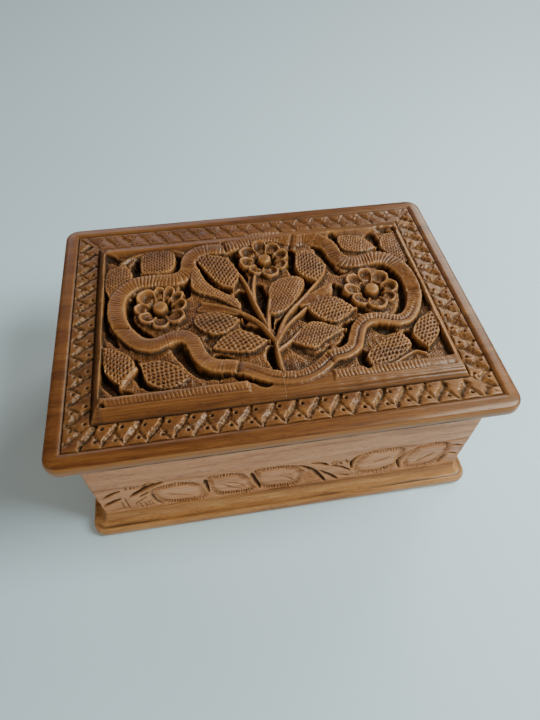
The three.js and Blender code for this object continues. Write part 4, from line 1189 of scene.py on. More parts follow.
# Place of a twin ribbon's groove, as a share of the half width.
TWIN_GROOVE = 0.12
RIBBON_STEP_DEPTH = 0.9
# How far a leaf's punched face lies below its rim.
LEAF_SINK = 0.12
# The round pit that a flower stands in.
FLOWER_PIT_DEPTH = 2.6
FLOWER_PIT_RADIUS = 5.4
# Stems and ridges, each as (lines, width, width of the tip as a share of it, drop below the panel's top).
RODS = ((STEMS, 1.9, 0.65, 0.35), (RIDGES, 2.0, 0.7, 0.9))
# How much wider a petal is than its share of the turn, and how much deeper its scoop is cut than is listed.
PETAL_OVERLAP = 1.0
SCOOP_GAIN = 1.45


# How far inside a motif's outline its arris begins to round, and how far tool marks make the outline stray.
ARRIS = 0.3
RAGGEDNESS = 0.16


def cut_wall(off: np.ndarray, rounding: float = ARRIS) -> np.ndarray:
    """How far a motif's side has fallen at a distance outside its outline: a round arris, then a wall."""
    inside = np.clip(1 + off / rounding, 0, 1)
    return 0.25 * rounding * inside**2 + WALL_SLOPE * np.maximum(off, 0)


@dataclass
class LidCarving:
    """The lid's panel, carved in relief, as heights over a grid.

    Attributes:
        step: the grid's pitch.
        xs: the grid's places along x.
        ys: the grid's places along y.
        z: heights, as (places along x, places along y).
    """

    step: float = PANEL_STEP
    xs: np.ndarray = field(init=False)
    ys: np.ndarray = field(init=False)
    z: np.ndarray = field(init=False)

    def __post_init__(self) -> None:
        """Lays out the grid."""
        counts = np.round(2 * FIELD_HALF / self.step).astype(int) + 1
        self.xs, self.ys = (
            np.linspace(-half, half, count) for half, count in zip(FIELD_HALF, counts, strict=True)
        )
        self.z = np.zeros(counts)

    def window(self, points: np.ndarray, margin: float) -> tuple[tuple[slice, slice], np.ndarray, np.ndarray]:
        """The part of the grid round some points.

        Args:
            points: the points.
            margin: how far past them it reaches.

        Returns:
            Slices of the grid, and the places in it along x and y.
        """
        low, high = points[:, :2].min(0) - margin, points[:, :2].max(0) + margin
        across = slice(*np.searchsorted(self.xs, (low[0], high[0])))
        up = slice(*np.searchsorted(self.ys, (low[1], high[1])))
        return (across, up), self.xs[across, None], self.ys[None, up]

    def raise_to(self, part: tuple[slice, slice], heights: np.ndarray) -> None:
        """Lifts a part of the grid to a motif's heights where they are higher."""
        self.z[part] = np.maximum(self.z[part], heights)

    def blank(self) -> None:
        """Lays out the bevel up to the panel, the sunk ground and the notched strip along the front.

        The bevel falls from the panel's edge to the scored line, by the larger of its two shares across the
        side and the front bevels, and has planing marks along it. The line is a V, as deep as the distance to
        it falls short of its half width. The frame round the ground is lower and narrower on the left.
        """
        x, y = self.xs[:, None], self.ys[None, :]
        beyond_side = (abs(x) - PANEL_HALF[0]) / PANEL_SIDE_BEVEL
        beyond_front = (abs(y) - PANEL_HALF[1]) / PANEL_FRONT_BEVEL
        past = np.maximum(beyond_side, beyond_front)
        top = PANEL_TOP - PANEL_RISE * np.clip(past, 0, 1) ** 1.15
        to_line = np.minimum(FIELD_HALF[0] - abs(x), FIELD_HALF[1] - abs(y))
        top -= SCORE_DEPTH * np.clip(1 - 2 * to_line / SCORE_WIDTH, 0, 1)
        top -= 0.3 * np.clip(1 - abs(past) * 2.5, 0, 1)
        for share, seed in BEVEL_STREAKS:
            off = abs(past - share - 0.07 * value_noise(x, y, 11, seed))
            top -= STREAK_DEPTH * np.clip(1 - off / 0.09, 0, 1)
        on_left = smoothstep((1.6 - PANEL_HALF[0] - x) / 1.2)
        top -= LEFT_FRAME_LOSS * on_left * np.clip(1 - past, 0, 1)
        side = PANEL_HALF[0] - PANEL_SIDE_FRAME + 0.25 * value_noise(x, y, 7, 3) + LEFT_FRAME_LOSS * (x < 0)
        front = PANEL_HALF[1] - ROPE_WIDTH + 0.25 * value_noise(x, y, 8, 4)
        back = PANEL_HALF[1] - PANEL_BACK_FRAME + 0.25 * value_noise(x, y, 8, 5)
        inside = np.minimum(np.minimum(side - abs(x), front + y), 0.12 * (back - y))
        rough = 0.3 * value_noise(x, y, 5.5, 6) + 0.22 * value_noise(x, y, 1.2, 7)
        ground = PANEL_TOP - GROUND_DEPTH + rough - 0.36 * punches(x, y, Marks.STIPPLE, 30, 8)
        strip = smoothstep(1 - (front + y) / 0.6) * (y > -PANEL_HALF[1])
        rise = y + PANEL_HALF[1]
        lean = x + 0.45 * rise - 0.1 * rise**2 + 0.15 * value_noise(x, y, 2.4, 9)
        notch = np.clip(np.cos(2 * math.pi * lean / ROPE_PITCH), 0, 1) ** 2.4
        across = (rise - ROPE_WIDTH / 2) / (ROPE_WIDTH / 2)
        # The notches run out towards the right
        deep = (0.7 + 0.5 * value_noise(x, y, 3.1, 10)) * smoothstep((50 - x) / 5)
        notched = 0.42 * deep * notch * np.clip(1 - across**2, 0, 1) + 0.4 * across**2
        bare = np.ones_like(x)
        for start, end in ROPE_SPANS:
            held = smoothstep((x - start) / 1.5) * smoothstep((end - x) / 1.5)
            bare = bare - held
            top -= held * strip * notched
        # Between the two notched strips the ribbon stands above the panel's edge and the bevel
        gap = smoothstep(1 - (front + y) / 0.6) * bare * (abs(x) < PANEL_HALF[0] / 2)
        top = np.minimum(top, PANEL_TOP - 0.8 * gap)
        self.z = np.where(inside > 0, np.maximum(ground, top - WALL_SLOPE * inside), top)

    def pits(self) -> None:
        """Cuts the pits beside the motifs, with uneven sides that slope over about a millimetre."""
        for number, (depth, points) in enumerate(PITS):
            outline = smooth_line(points, 4, closed=True)
            part, x, y = self.window(outline, 1.5)
            reach = 0.45 + 0.3 * value_noise(x, y, 1.3, 20 + number)
            inside = smoothstep((reach - outside(x, y, outline)) / PIT_SLOPE_WIDTH)
            self.z[part] -= (depth - GROUND_DEPTH) * inside

    def ribbon(self) -> None:
        """Raises the ribbon.

        Across it, with q from -1 at its inner edge to 1 at its outer one, it is a low arch that falls with q
        squared. Where it is a twin, a groove just outside its middle parts a ribbed inner strand from a
        smooth outer one. The notches are the positive half of a cosine along it. At each of its steps, one
        side of a short line across it dips with the square of the nearness to the line.
        """
        line = smooth_line(RIBBON, 6, closed=True)
        line = np.vstack((line, line[:1]))
        off = np.full(self.z.shape, np.inf)
        station = np.zeros_like(off)
        run = np.zeros_like(off)
        lengths = np.concatenate(((0,), np.cumsum(np.hypot(*np.diff(line, axis=0).T))))
        for k, pair in enumerate(zip(line[:-1], line[1:], strict=True)):
            ends = np.array(pair)
            part, x, y = self.window(ends, 4.5)
            distance, share, side = nearest(x, y, ends)
            closer = distance < abs(off[part])
            off[part] = np.where(closer, -side * distance, off[part])
            station[part] = np.where(closer, (k + share) / 6, station[part])
            run[part] = np.where(closer, lengths[k] + share * (lengths[k + 1] - lengths[k]), run[part])
        near = np.isfinite(off)
        q_off, at, along = off[near], station[near], run[near]
        tables = (RIBBON_WIDTHS, RIBBON_NOTCHES, RIBBON_TWINS, RIBBON_LEANS)
        half, notches, twin, lean = (np.interp(at, *np.array(table, float).T) for table in tables)
        half = half / 2
        q = q_off / half
        arch = 0.24 * q**2 + 0.16 * abs(q) ** 6
        groove = 0.55 * np.exp(-(((q - TWIN_GROOVE) / 0.16) ** 2))
        strand = 0.5 * (np.clip(q - TWIN_GROOVE, 0, 1) - 0.42) ** 2 - 0.1 * (q > TWIN_GROOVE)
        inner = np.clip(1 - np.maximum(q, -0.9), 0.0, 1)
        notch_reach = (1 - twin) + twin * smoothstep((0.1 - q) / 0.1) * inner
        phase = along + 0.5 * q + 0.16 * value_noise(along, q, 3.3, 15)
        wave = np.clip(np.cos(2 * math.pi * phase / RIBBON_NOTCH_PITCH), 0, 1) ** 1.8
        fine = np.clip(np.cos(2 * math.pi * (phase + 0.1 * q) / RIBBON_FINE_PITCH), 0, 1) ** 1.5
        uneven = 0.75 + 0.5 * value_noise(along, q, 4.1, 16)
        z = PANEL_TOP - 0.05 - arch * (1 - 0.5 * twin) - twin * (groove + strand)
        z -= 0.5 * lean * np.clip(1 - q, 0, 2)
        z -= (0.55 * notches * wave + 0.26 * (1 - notches) * fine) * uneven * notch_reach * (1 - 0.2 * q**2)
        z -= cut_wall(abs(q_off) - half + RAGGEDNESS * value_noise(along, q, 0.9, 18))
        heights = np.full(off.shape, -np.inf)
        heights[near] = z
        self.z = np.maximum(self.z, heights)
        for ends in RIBBON_STEPS:
            line = np.array(ends)
            part, x, y = self.window(line, 3.0)
            distance, share, side = nearest(x, y, line)
            held = np.clip(np.minimum(share, 1 - share) * 12, 0, 1)
            onward = np.clip(1 - distance / 2.6, 0, 1) ** 2 * (side > 0)
            dip = np.maximum(onward, np.clip(1 - distance / 0.45, 0, 1))
            self.z[part] -= RIBBON_STEP_DEPTH * held * dip

    def leaves(self) -> None:
        """Raises the leaves, each with a smooth rim round its punched face."""
        for number, leaf in enumerate(LEAVES):
            outline = smooth_line(leaf.outline, 8, closed=True)
            middle = outline.mean(0)
            part, x, y = self.window(outline, 1.0)
            off = outside(x, y, outline) + RAGGEDNESS * value_noise(x, y, 0.9, 120 + number)
            inner = smoothstep((-off - 0.05) / 0.3)
            top = PANEL_TOP - leaf.drop + leaf.lean[0] * (x - middle[0]) + leaf.lean[1] * (y - middle[1])
            top = top + 0.35 * smoothstep(-off / 3.5) + 0.1 * value_noise(x, y, 3.5, 60 + number)
            punched = leaf.marks.value.depth * punches(x, y, leaf.marks, leaf.angle, 80 + number)
            self.raise_to(part, top - inner * (LEAF_SINK + punched) - cut_wall(off))

    def stems(self) -> None:
        """Raises the stems and ridges: rounded, and narrower towards their tips."""
        for lines, width, tip, drop in RODS:
            for points in lines:
                line = smooth_line(points, 8)
                part, x, y = self.window(line, 1.6)
                distance, share, _ = nearest(x, y, line)
                half = width / 2 * (1 - (1 - tip) * share)
                q = np.minimum(distance / half, 1.5)
                self.raise_to(part, PANEL_TOP - drop - 0.75 * q - cut_wall(distance - half))

    def petals(self, flower: Flower, x: np.ndarray, y: np.ndarray) -> np.ndarray:
        """Heights of a flower's petals.

        A petal is an oval from near the button out to its reach, a little wider than its share of the turn.
        Its outer end is lifted, and every second petal lies lower. The scoops are then cut out of all petals
        together, which leaves a ridge between each two, and a ring is cut round the button.

        Args:
            flower: the flower.
            x: places along x.
            y: places along y.

        Returns:
            The heights, which are minus infinity where no petal reaches.
        """
        dx, dy = x - flower.at[0], y - flower.at[1]
        top = np.full(np.broadcast(x, y).shape, -np.inf)
        scoops = np.zeros_like(top)
        start = flower.button + 0.3
        begin = flower.start
        for order, (span, reach, scoop) in enumerate(flower.petals):
            turn = math.radians(begin + span / 2)
            begin += span
            centre, length = (reach + start) / 2, reach - start
            width = 2 * centre * math.sin(math.radians(span / 2)) + PETAL_OVERLAP
            along = dx * math.cos(turn) + dy * math.sin(turn) - centre
            across = dy * math.cos(turn) - dx * math.sin(turn)
            narrow = width * (1 + 0.5 * along / length)
            q = np.sqrt((2 * along / length) ** 2 + (2 * across / narrow) ** 2 + 1e-9)
            lifted = -0.7 - 0.35 * (order % 2) + 0.22 * np.clip(along, -4, 4)
            edge = (q - 1) * width / 2 + 0.2 * value_noise(x, y, 1.2, 60 + order)
            top = np.maximum(top, PANEL_TOP + lifted - cut_wall(edge, 0.35))
            inside = np.sqrt((2 * (along + 0.2) / length) ** 2 + (2 * across / narrow) ** 2)
            hollowed = np.clip(1 - (inside / 0.84) ** 2.2, 0, 1)
            scoops = np.maximum(scoops, SCOOP_GAIN * scoop * hollowed)
        ring = 2.8 * np.exp(-(((np.hypot(dx, dy) - flower.button - 0.6) / 0.95) ** 2))
        return top - scoops - ring

    def flowers(self) -> None:
        """Clears a round pit for each flower, then raises its petals and its domed button."""
        for flower in FLOWERS:
            part, x, y = self.window(np.array(flower.at)[None], 12.5)
            away = np.hypot(x - flower.at[0], y - flower.at[1])
            self.z[part] -= FLOWER_PIT_DEPTH * smoothstep((FLOWER_PIT_RADIUS - away) / 1.6)
            self.raise_to(part, self.petals(flower, x, y))
            dome = 0.6 * np.minimum(away / flower.button, 1.2) ** 3
            self.raise_to(part, PANEL_TOP - 0.3 - dome - cut_wall(away - flower.button, 0.4))

    def carve(self) -> None:
        """Carves the whole panel, with the carver's small unevenness."""
        self.blank()
        self.pits()
        self.leaves()
        self.stems()
        self.ribbon()
        self.flowers()
        x, y = self.xs[:, None], self.ys[None, :]
        # The bevel is planed, so only the carved field has the smallest tool marks
        carved = (abs(x) < PANEL_HALF[0] - 0.5) & (abs(y) < PANEL_HALF[1] - 0.5)
        uneven = 0.07 * value_noise(x, y, 2.8, 41)
        uneven += carved * (0.09 * value_noise(x, y, 1.1, 42) + 0.05 * value_noise(x, y, 0.5, 43))
        self.z += uneven * (0.35 + 0.65 * np.clip(PANEL_TOP - self.z, 0, 1))
        self.z = np.clip(self.z, PANEL_BOTTOM + 0.3, PANEL_TOP)


@dataclass(frozen=True)
class ChipRow:
    """How one side of the border is chip-carved.

    Attributes:
        scoop: half width of the broad strokes.
        link: half width of the thin strokes between them.
        dot: radius of the punched dots.
        lean: 1 if the broad strokes lean onward, -1 if they lean back.
        depth: how deep the strokes are.
    """

    scoop: float
    link: float
    dot: float
    lean: int
    depth: float


CHIP_ROWS = {
    Side.FRONT: ChipRow(1.25, 0.75, 0.72, 1, 1.15),
    Side.RIGHT: ChipRow(1.5, 1.1, 0.55, 1, 1.2),
    Side.BACK: ChipRow(1.0, 0.4, 0.4, -1, 0.6),
    Side.LEFT: ChipRow(1.4, 0.8, 0.65, -1, 1.1),
}
CHIP_PITCH = 6.75
# Where the front's repeats begin.
FRONT_CHIPS = (
    -65, -58.5, -51.5, -44.5, -36.5, -30.3, -23, -16.5, -8.8, -1.6, 5.8, 12.8, 20, 27.4, 34.6, 41.6, 48.3,
    56.2, 64.6,
)
# One repeat of the border: places along it and in from its outer line.
SCOOP_LINE: Line = ((0, 0.5), (0.9, 2.6), (3.0, 4.9), (4.2, 7.0), (4.9, 9.0))
LINK_LINE: Line = ((3.6, 5.4), (6.7, 0.9))
DOTS: Line = ((6.1, 6.6), (4.2, 2.3))


def chips(along: np.ndarray, across: np.ndarray, side: Side, half_length: float) -> np.ndarray:
    """Depth of one side's chip carving.

    Args:
        along: places along the side.
        across: distance in from the border's outer line.
        side: the side.
        half_length: half of the outer line's length.

    Returns:
        The deepest of each repeat's strokes and dots. A stroke is as deep as the distance to it falls short
        of its half width, which swells in its middle. Four small random shifts of each repeat move it along
        and across, and change its width and depth.
    """
    row = CHIP_ROWS[side]
    count = round(2 * half_length / CHIP_PITCH) - 1
    even = (np.arange(count) - (count - 1) / 2) * CHIP_PITCH - 2.6
    places = np.array(FRONT_CHIPS, float) if side is Side.FRONT else even
    jitter = np.random.default_rng(50 + side.value).uniform(-1, 1, (len(places), 4))
    depth = np.zeros(along.shape)
    scoop, link = (smooth_line(points, 5) for points in (SCOOP_LINE, LINK_LINE))
    # Torn fibres make the strokes' edges ragged
    ragged = 0.3 * value_noise(along, across, 0.8, 55) + 0.22 * value_noise(along, across, 0.36, 56)
    for place, own in zip(places, jitter, strict=True):
        rows = np.abs(along[:, 0] * row.lean - place - 3) < 8
        a = along[rows] * row.lean - place - (0.35 * own[0] if side is not Side.FRONT else 0)
        c = across[rows] - 0.25 * own[1]
        distance, share, _ = nearest(a, c, scoop)
        swell = 0.4 + 0.6 * np.sin(math.pi * np.clip(share, 0, 1)) ** 0.8
        half = row.scoop * swell * (1 + 0.15 * own[2])
        cut = row.depth * (1 + 0.15 * own[3]) * np.clip(1.1 - (distance + ragged[rows]) / half, 0, 1) ** 0.8
        cut = np.maximum(cut, 0.3 * np.clip(1 - distance / 2.6, 0, 1) ** 1.5)
        distance, share, _ = nearest(a, c, link)
        linked = np.clip(1 - (distance + 0.6 * ragged[rows]) / row.link, 0, 1)
        cut = np.maximum(cut, 0.7 * row.depth * linked)
        for dot_along, dot_across in DOTS:
            q = np.hypot(a - dot_along - 0.4 * own[3], c - dot_across) / row.dot
            cut = np.maximum(cut, 1.1 * row.depth * smoothstep(2.2 * (1 - q)))
        depth[rows] = np.maximum(depth[rows], cut)
    return depth


@dataclass(frozen=True)
class CarvedLid:
    """The lid: a board with a rounded edge, the chip-carved border, and the panel carved in relief."""

    palette: Palette
    hinge_cuts: Sequence[Shell]

    def build_board(self) -> Object:
        """The board, hollowed for the border and the panel, whose joints lie in the scored lines."""
        ledge, floor = RIM_TOP - 2.6, WALL_TOP + 1.0
        groove = RIM_TOP - SCORE_DEPTH
        field_line = LID_MARGIN + LID_BAND
        # Each ring is (how far it is set in, height, corner radius), from the underside to the floor of the
        # recess
        lower_arris = (
            (2.6, 0, 2.9), (2.0, 0, 3.5), (1.35, 0.14, 4.15), (0.8, 0.45, 4.7), (0.35, 0.95, 5.15),
            (0.08, 1.6, 5.4), (0.04, 2.1, 5.44), (0.02, 2.35, 5.47), (0, 2.6, LID_CORNER_RADIUS),
        )
        upper_edge = (
            (0, -2.4, LID_CORNER_RADIUS), (0.06, -1.8, 5.44), (0.22, -1.2, 5.28), (0.5, -0.68, 5.0),
            (0.68, -0.5, 4.82), (1.0, -0.36, 4.5), (1.6, -0.18, 3.9), (2.6, -0.04, 2.9), (4.0, 0, 1.5),
            (LID_MARGIN - SCORE_WIDTH / 2, 0, 0.5),
        )
        edge = (
            *((inset, WALL_TOP + rise, radius) for inset, rise, radius in lower_arris),
            *((inset, RIM_TOP + rise, radius) for inset, rise, radius in upper_edge),
            (LID_MARGIN - 0.12, groove, 0.4), (LID_MARGIN, groove, 0.4), (LID_MARGIN, ledge, 0.4),
            (field_line, ledge, 0.4), (field_line, floor, 0.4),
        )
        rings = board(LID_HALF, edge)
        flat = np.zeros((len(edge) - 1, 1), bool)
        flat[0] = flat[-4:] = True
        shade_and_dust = np.zeros((len(edge), rings.shape[1]))
        # Painted shade at the foot of the scored line round the margin
        shade_and_dust[19:21] = 0.9
        # A painted shadow line along the front's lower arris, thinner towards its ends, and paler wood above
        # it
        x, y = rings[0, :, :2].T
        on_front = smoothstep((66 - abs(x)) / 16) * (y < 0)
        shadow_line = np.clip(0.85 + 0.6 * value_noise(x, y, 2.3, 90), 0, 1) * on_front
        shade_and_dust[2:8] = np.outer((1.0, 1.0, 1.0, 1.0, 0.9, 0.2), shadow_line)
        raw = np.zeros_like(shade_and_dust)
        raw[:13] = 0.8
        shell = Shell(rings, flat=flat, marks={"shade_and_dust": shade_and_dust, "raw": raw})
        return add_piece("lid_edge", [shell], self.palette.lid, "lid", ["lid_board"], self.hinge_cuts)

    def build_border(self) -> Object:
        """The border between the scored lines: four mitred strips in one ring.

        A column at share s of a side and distance d in from the outer line stands at s times the half length
        less d. Its height is the rim's less the chips' depth and the two scored lines.
        """
        d = np.linspace(0, LID_BAND, round(LID_BAND / BAND_STEP) + 1)
        columns, depths = [], []
        for side in Side:
            half_along, half_out = side.half_sizes(BAND_HALF)
            count = round(2 * half_along / BAND_STEP)
            share = (np.arange(count) / count * 2 - 1)[:, None]
            along = share * (half_along - d)
            depth = chips(along, np.broadcast_to(d, along.shape), side, half_along)
            outer, inner = (np.clip(1 - 2 * edge / SCORE_WIDTH, 0, 1) for edge in (d, LID_BAND - d))
            depth = np.maximum(depth, SCORE_DEPTH * (1.2 * outer + 0.6 * inner))
            depth = depth + 0.06 * value_noise(along, d + 20.0 * side.value, 1.4, 71) + 0.06
            columns.append(side.place(along, half_out - d, RIM_TOP - depth))
            depths.append(depth)
        top = np.concatenate(columns)
        depth = np.concatenate(depths)
        marks = shade_and_rubbing(-depth, BAND_STEP)
        frays = np.clip(0.35 + 1.5 * value_noise(top[..., 0], top[..., 1], 0.7, 57), 0, 1)
        marks["raw"] = np.clip(2.6 * depth - 0.9, 0, 1) * frays
        # The left side gets the most painted shade, as the side away from the nearest light
        marks["shade_and_dust"] = np.clip(marks["shade_and_dust"] + 0.22 * (top[..., 0] < 1 - FIELD_HALF[0]), 0, 1)
        shell = backed(top, feet(top, RIM_TOP - 2.55), marks, closed=True)
        return add_piece("lid_border", [shell], self.palette.lid, "lid")

    def build_panel(self) -> list[Object]:
        """The panel's relief as two blocks that meet in the middle."""
        relief = LidCarving()
        relief.carve()
        marks = shade_and_rubbing(relief.z, relief.step)
        # The frame's left side gets painted shade, as the side away from the nearest light
        left_shade = smoothstep((2.4 - PANEL_HALF[0] - relief.xs) / 0.6)[:, None]
        marks["shade_and_dust"] = np.clip(marks["shade_and_dust"] + 0.35 * left_shade, 0, 1)
        middle = len(relief.xs) // 2
        pieces = []
        halves = {"lid_panel_left": slice(0, middle + 1), "lid_panel_right": slice(middle, None)}
        for name, part in halves.items():
            top = np.stack(np.broadcast_arrays(relief.xs[part, None], relief.ys[None, :], relief.z[part]), -1)
            shell = backed(top, feet(top, PANEL_BOTTOM), {key: value[part] for key, value in marks.items()})
            pieces.append(add_piece(name, [shell], self.palette.lid, "lid"))
        return pieces

    def build(self) -> list[Object]:
        """Makes all pieces of the lid."""
        return [self.build_board(), self.build_border(), *self.build_panel()]


def wall_depth(along: np.ndarray, up: np.ndarray, half_length: float) -> np.ndarray:
    """Depth of a wall's carving.

    Args:
        along: places along the wall.
        up: heights above its foot.
        half_length: half of the wall's length. What doesn't fit on it is left out.

    Returns:
        The deepest of the leaves' edges, the strokes and the teeth. A leaf is a low dome with a groove above
        it, and cuts run across its outline, deepest at its top and bottom. A stroke falls off with the square
        of the distance to its line, and swells in its middle. Cuts are the positive half of a cosine.
    """
    depth = np.zeros(np.broadcast(along, up).shape)
    sway = 0.35 * value_noise(along, up, 1.6, 11)
    uneven = 1 + 0.4 * value_noise(along, up, 2.6, 17)

    def fits(line: Sequence[Point]) -> bool:
        """Whether a motif lies on the wall."""
        return max(abs(x) for x, _ in line) <= half_length - 0.5

    def pulses(share: np.ndarray, line: np.ndarray, pitch: float) -> np.ndarray:
        """Cuts across a line, 1 in the middle of each and 0 between them."""
        length = np.hypot(*np.diff(line, axis=0).T).sum()
        return np.clip(np.cos(2 * math.pi * (share * length / pitch + sway)), 0, 1) ** 0.7

    for points in filter(fits, WALL_LEAVES):
        outline = smooth_line(points, 5, closed=True)
        loop = np.vstack((outline, outline[:1]))
        off = outside(along, up, outline)
        _, share, _ = nearest(along, up, loop)
        dome = 0.5 * smoothstep(1 + off / 3.6) * np.clip(1 - off / 1.1, 0, 1)
        middle, height = outline[:, 1].mean(), np.ptp(outline[:, 1])
        upright = smoothstep(abs(up - middle) / height * 2)
        held = np.clip(1.4 - abs(off + 0.2) / 1.5, 0, 1) * (0.35 + 0.65 * upright)
        cuts = 1.05 * uneven * held * pulses(share, loop, LEAF_CUT_PITCH)
        above = smoothstep((up - middle) / height * 2)
        groove = 0.8 * uneven * above * np.clip(1 - abs(off - 0.3) / 0.9, 0, 1)
        depth = np.maximum(depth, dome + np.maximum(cuts, groove))
    for teeth in (row for row in WALL_TEETH if fits(row.line)):
        line = smooth_line(teeth.line, 5)
        distance, share, _ = nearest(along, up, line)
        held = smoothstep((teeth.reach - distance) / 0.5) * np.clip(np.minimum(share, 1 - share) * 25, 0, 1)
        depth = np.maximum(depth, teeth.depth * uneven * held * pulses(share, line, teeth.pitch))
    for stroke in (gouge for gouge in WALL_STROKES if fits(gouge.line)):
        distance, share, _ = nearest(along, up, smooth_line(stroke.line, 5))
        swell = 0.25 + 0.75 * np.sqrt(np.sin(math.pi * np.clip(share, 0.001, 0.999)))
        half = stroke.width / 2 * swell
        depth = np.maximum(depth, stroke.depth * np.clip(1 - (distance / half) ** 2, 0, 1))
    return depth


@dataclass(frozen=True)
class CarvedCase:
    """The box under the lid: four mitred walls on a moulded base."""

    palette: Palette
    hinge_cuts: Sequence[Shell]
    screw_cuts: Sequence[Shell]

    def build_wall(self, side: Side) -> Object:
        """One wall.

        Its section is a loop of (distance in from the outer face, height), and a column at share s of the
        wall stands at s times the half length less that distance, which makes the mitres.

        Args:
            side: the wall's side.

        Returns:
            The wall.
        """
        half_along, half_out = side.half_sizes(BODY_HALF)
        carved = np.arange(0, CARVED_HEIGHT + 0.6, WALL_STEP)
        plain = np.linspace(carved[-1], WALL_HEIGHT, 10)[1:]
        up = np.concatenate((carved, plain))
        count = round(2 * half_along / WALL_STEP)
        share = np.linspace(-1, 1, count + 1)[:, None]
        flat_along = share * half_along
        depth = np.zeros((count + 1, len(up)))
        depth[:, : len(carved)] = wall_depth(flat_along, carved[None], half_along)
        # A faint line bounds the band, whose ground is scraped a little lower than the plain wall above it
        faint = 0.5 + 0.5 * value_noise(flat_along, up, 9, 12)
        depth = np.maximum(depth, 0.5 * np.clip(1 - abs(up - CARVED_HEIGHT) / 0.6, 0, 1) * faint)
        in_band = smoothstep((CARVED_HEIGHT - up) / 1.5)
        scraped = 0.1 * in_band * (1 + value_noise(flat_along, up, 3.1, 13))
        depth += scraped + 0.05 * (1 + value_noise(flat_along, up, 14, 14))
        marks = shade_and_rubbing(-SHADE_AND_RUBBING_GAIN * depth[:, : len(carved)], WALL_STEP)
        face = side.place(share * (half_along - depth), half_out - depth, BASE_HEIGHT + up)
        corners = BASE_HEIGHT + np.array((WALL_HEIGHT, 0))
        back = side.place(share * (half_along - WALL_THICKNESS), half_out - WALL_THICKNESS, corners)
        lengthwise = side in (Side.FRONT, Side.BACK)
        finish = self.palette.wall if lengthwise else self.palette.side_wall
        name = f"{side.name.lower()}_wall"
        cutters = self.hinge_cuts if side is Side.BACK else ()
        return add_piece(f"carved_{name}", [backed(face, back, marks)], finish, "box", [name], cutters)

    def build_base(self) -> Object:
        """The base board: a bead, a crease above it, and a cove up to the walls' foot.

        The bead is half an ellipse, and the cove a quarter of one.
        """
        steps = 14
        rings = []
        for angle in np.linspace(-math.pi / 2, math.pi / 2, 2 * steps + 1):
            inset = BASE_CREASE * (1 - math.cos(angle))
            rings.append((inset, BASE_BEAD_HEIGHT / 2 * (1 + math.sin(angle)), BASE_CORNER_RADIUS - inset))
        foot = BASE_CREASE + 0.35
        rings.append((foot, BASE_BEAD_HEIGHT - 0.05, 3.4))
        stack = [board(BASE_HALF, rings)]
        run = np.array((BASE_SIDE_PROJECTION, BASE_FRONT_PROJECTION)) - foot
        for angle in np.linspace(0, math.pi / 2, steps + 1)[1:]:
            inward = math.sin(angle)
            height = BASE_BEAD_HEIGHT + (BASE_HEIGHT - BASE_BEAD_HEIGHT) * (1 - math.cos(angle))
            half = BASE_HALF - (run * inward + foot)
            stack.append(board(half, [(0, height, 0.1 + 3.3 * (1 - inward))]))
        points = np.concatenate(stack)
        # Painted shade and dust lie in the crease, in patches
        shade_and_dust = np.zeros(points.shape[:2])
        crease = 2 * steps + 1
        patchy = np.clip(0.5 + 0.6 * value_noise(points[0, :, 0], points[0, :, 1], 9, 91), 0, 1)
        shade_and_dust[crease - 2 : crease + 3] = np.outer((0.2, 0.6, 1.0, 0.6, 0.25), patchy)
        shell = Shell(points, marks={"shade_and_dust": shade_and_dust})
        return add_piece("moulded_base", [shell], self.palette.base, "box", ["base_board"], self.screw_cuts)

    def build(self) -> list[Object]:
        """Makes the walls and the base."""
        return [*(self.build_wall(side) for side in Side), self.build_base()]


# Hinges and screws

HINGE_LENGTH = 22.0
HINGE_INSET = 23.7
HINGE_BARREL_RADIUS = 1.6
HINGE_LEAF_THICKNESS = 1.1
HINGE_LEAF_WIDTH = 6.4
HINGE_LEAF_SINK = 0.2
HINGE_MIDDLE_KNUCKLE = 7.8
HINGE_STANDOFF = 0.1
HINGE_SCREW_INSET = 4.5
KNUCKLE_GAP = 0.1
PIN_RADIUS = 0.7
PIN_OVERRUN = 0.2
BARREL_CLEARANCE = 0.35
HINGE_Y = BODY_HALF[1] + HINGE_STANDOFF + HINGE_BARREL_RADIUS
LEAF_OUTER_Y = BODY_HALF[1] - HINGE_LEAF_SINK
LEAF_INNER_Y = LEAF_OUTER_Y - HINGE_LEAF_WIDTH
HINGE_XS = (-(BODY_HALF[0] - HINGE_INSET), BODY_HALF[0] - HINGE_INSET)
BASE_SCREW_INSET = 18.7
BASE_SCREW_SINK = 0.4


@dataclass(frozen=True)
class ScrewSize:
    """A countersunk screw's sizes: radii of its shank and head, the head's height and the length."""

    shank: float
    head: float
    head_height: float
    length: float


WALL_HINGE_SCREW = ScrewSize(0.8, 1.6, 0.8, 8.5)
LID_HINGE_SCREW = ScrewSize(0.8, 1.6, 0.8, 3.6)
BASE_SCREW = ScrewSize(1.3, 2.7, 1.5, 20.0)


def cuboid(low: Sequence[float], high: Sequence[float], bevel: float = 0.0) -> Shell:
    """A block with bevelled edges along Z and round its two ends, for leaves and cutters.

    Args:
        low: its lowest corner.
        high: its highest corner.
        bevel: width of the bevels.

    Returns:
        The block as a stack of rounded rectangles.
    """
    low, high = np.asarray(low, float), np.asarray(high, float)
    middle, half = (low + high) / 2, (high - low) / 2
    corner = max(bevel, 0.01)
    levels = [(0, low[2] + bevel, corner), (0, high[2] - bevel, corner)]
    if bevel:
        levels = [(bevel, low[2], corner), *levels, (bevel, high[2], corner)]
    rings = board(half[:2], levels, corner_steps=3, side_steps=1) + (*middle[:2], 0)
    return Shell(rings, flat=np.ones((1, 1), bool))


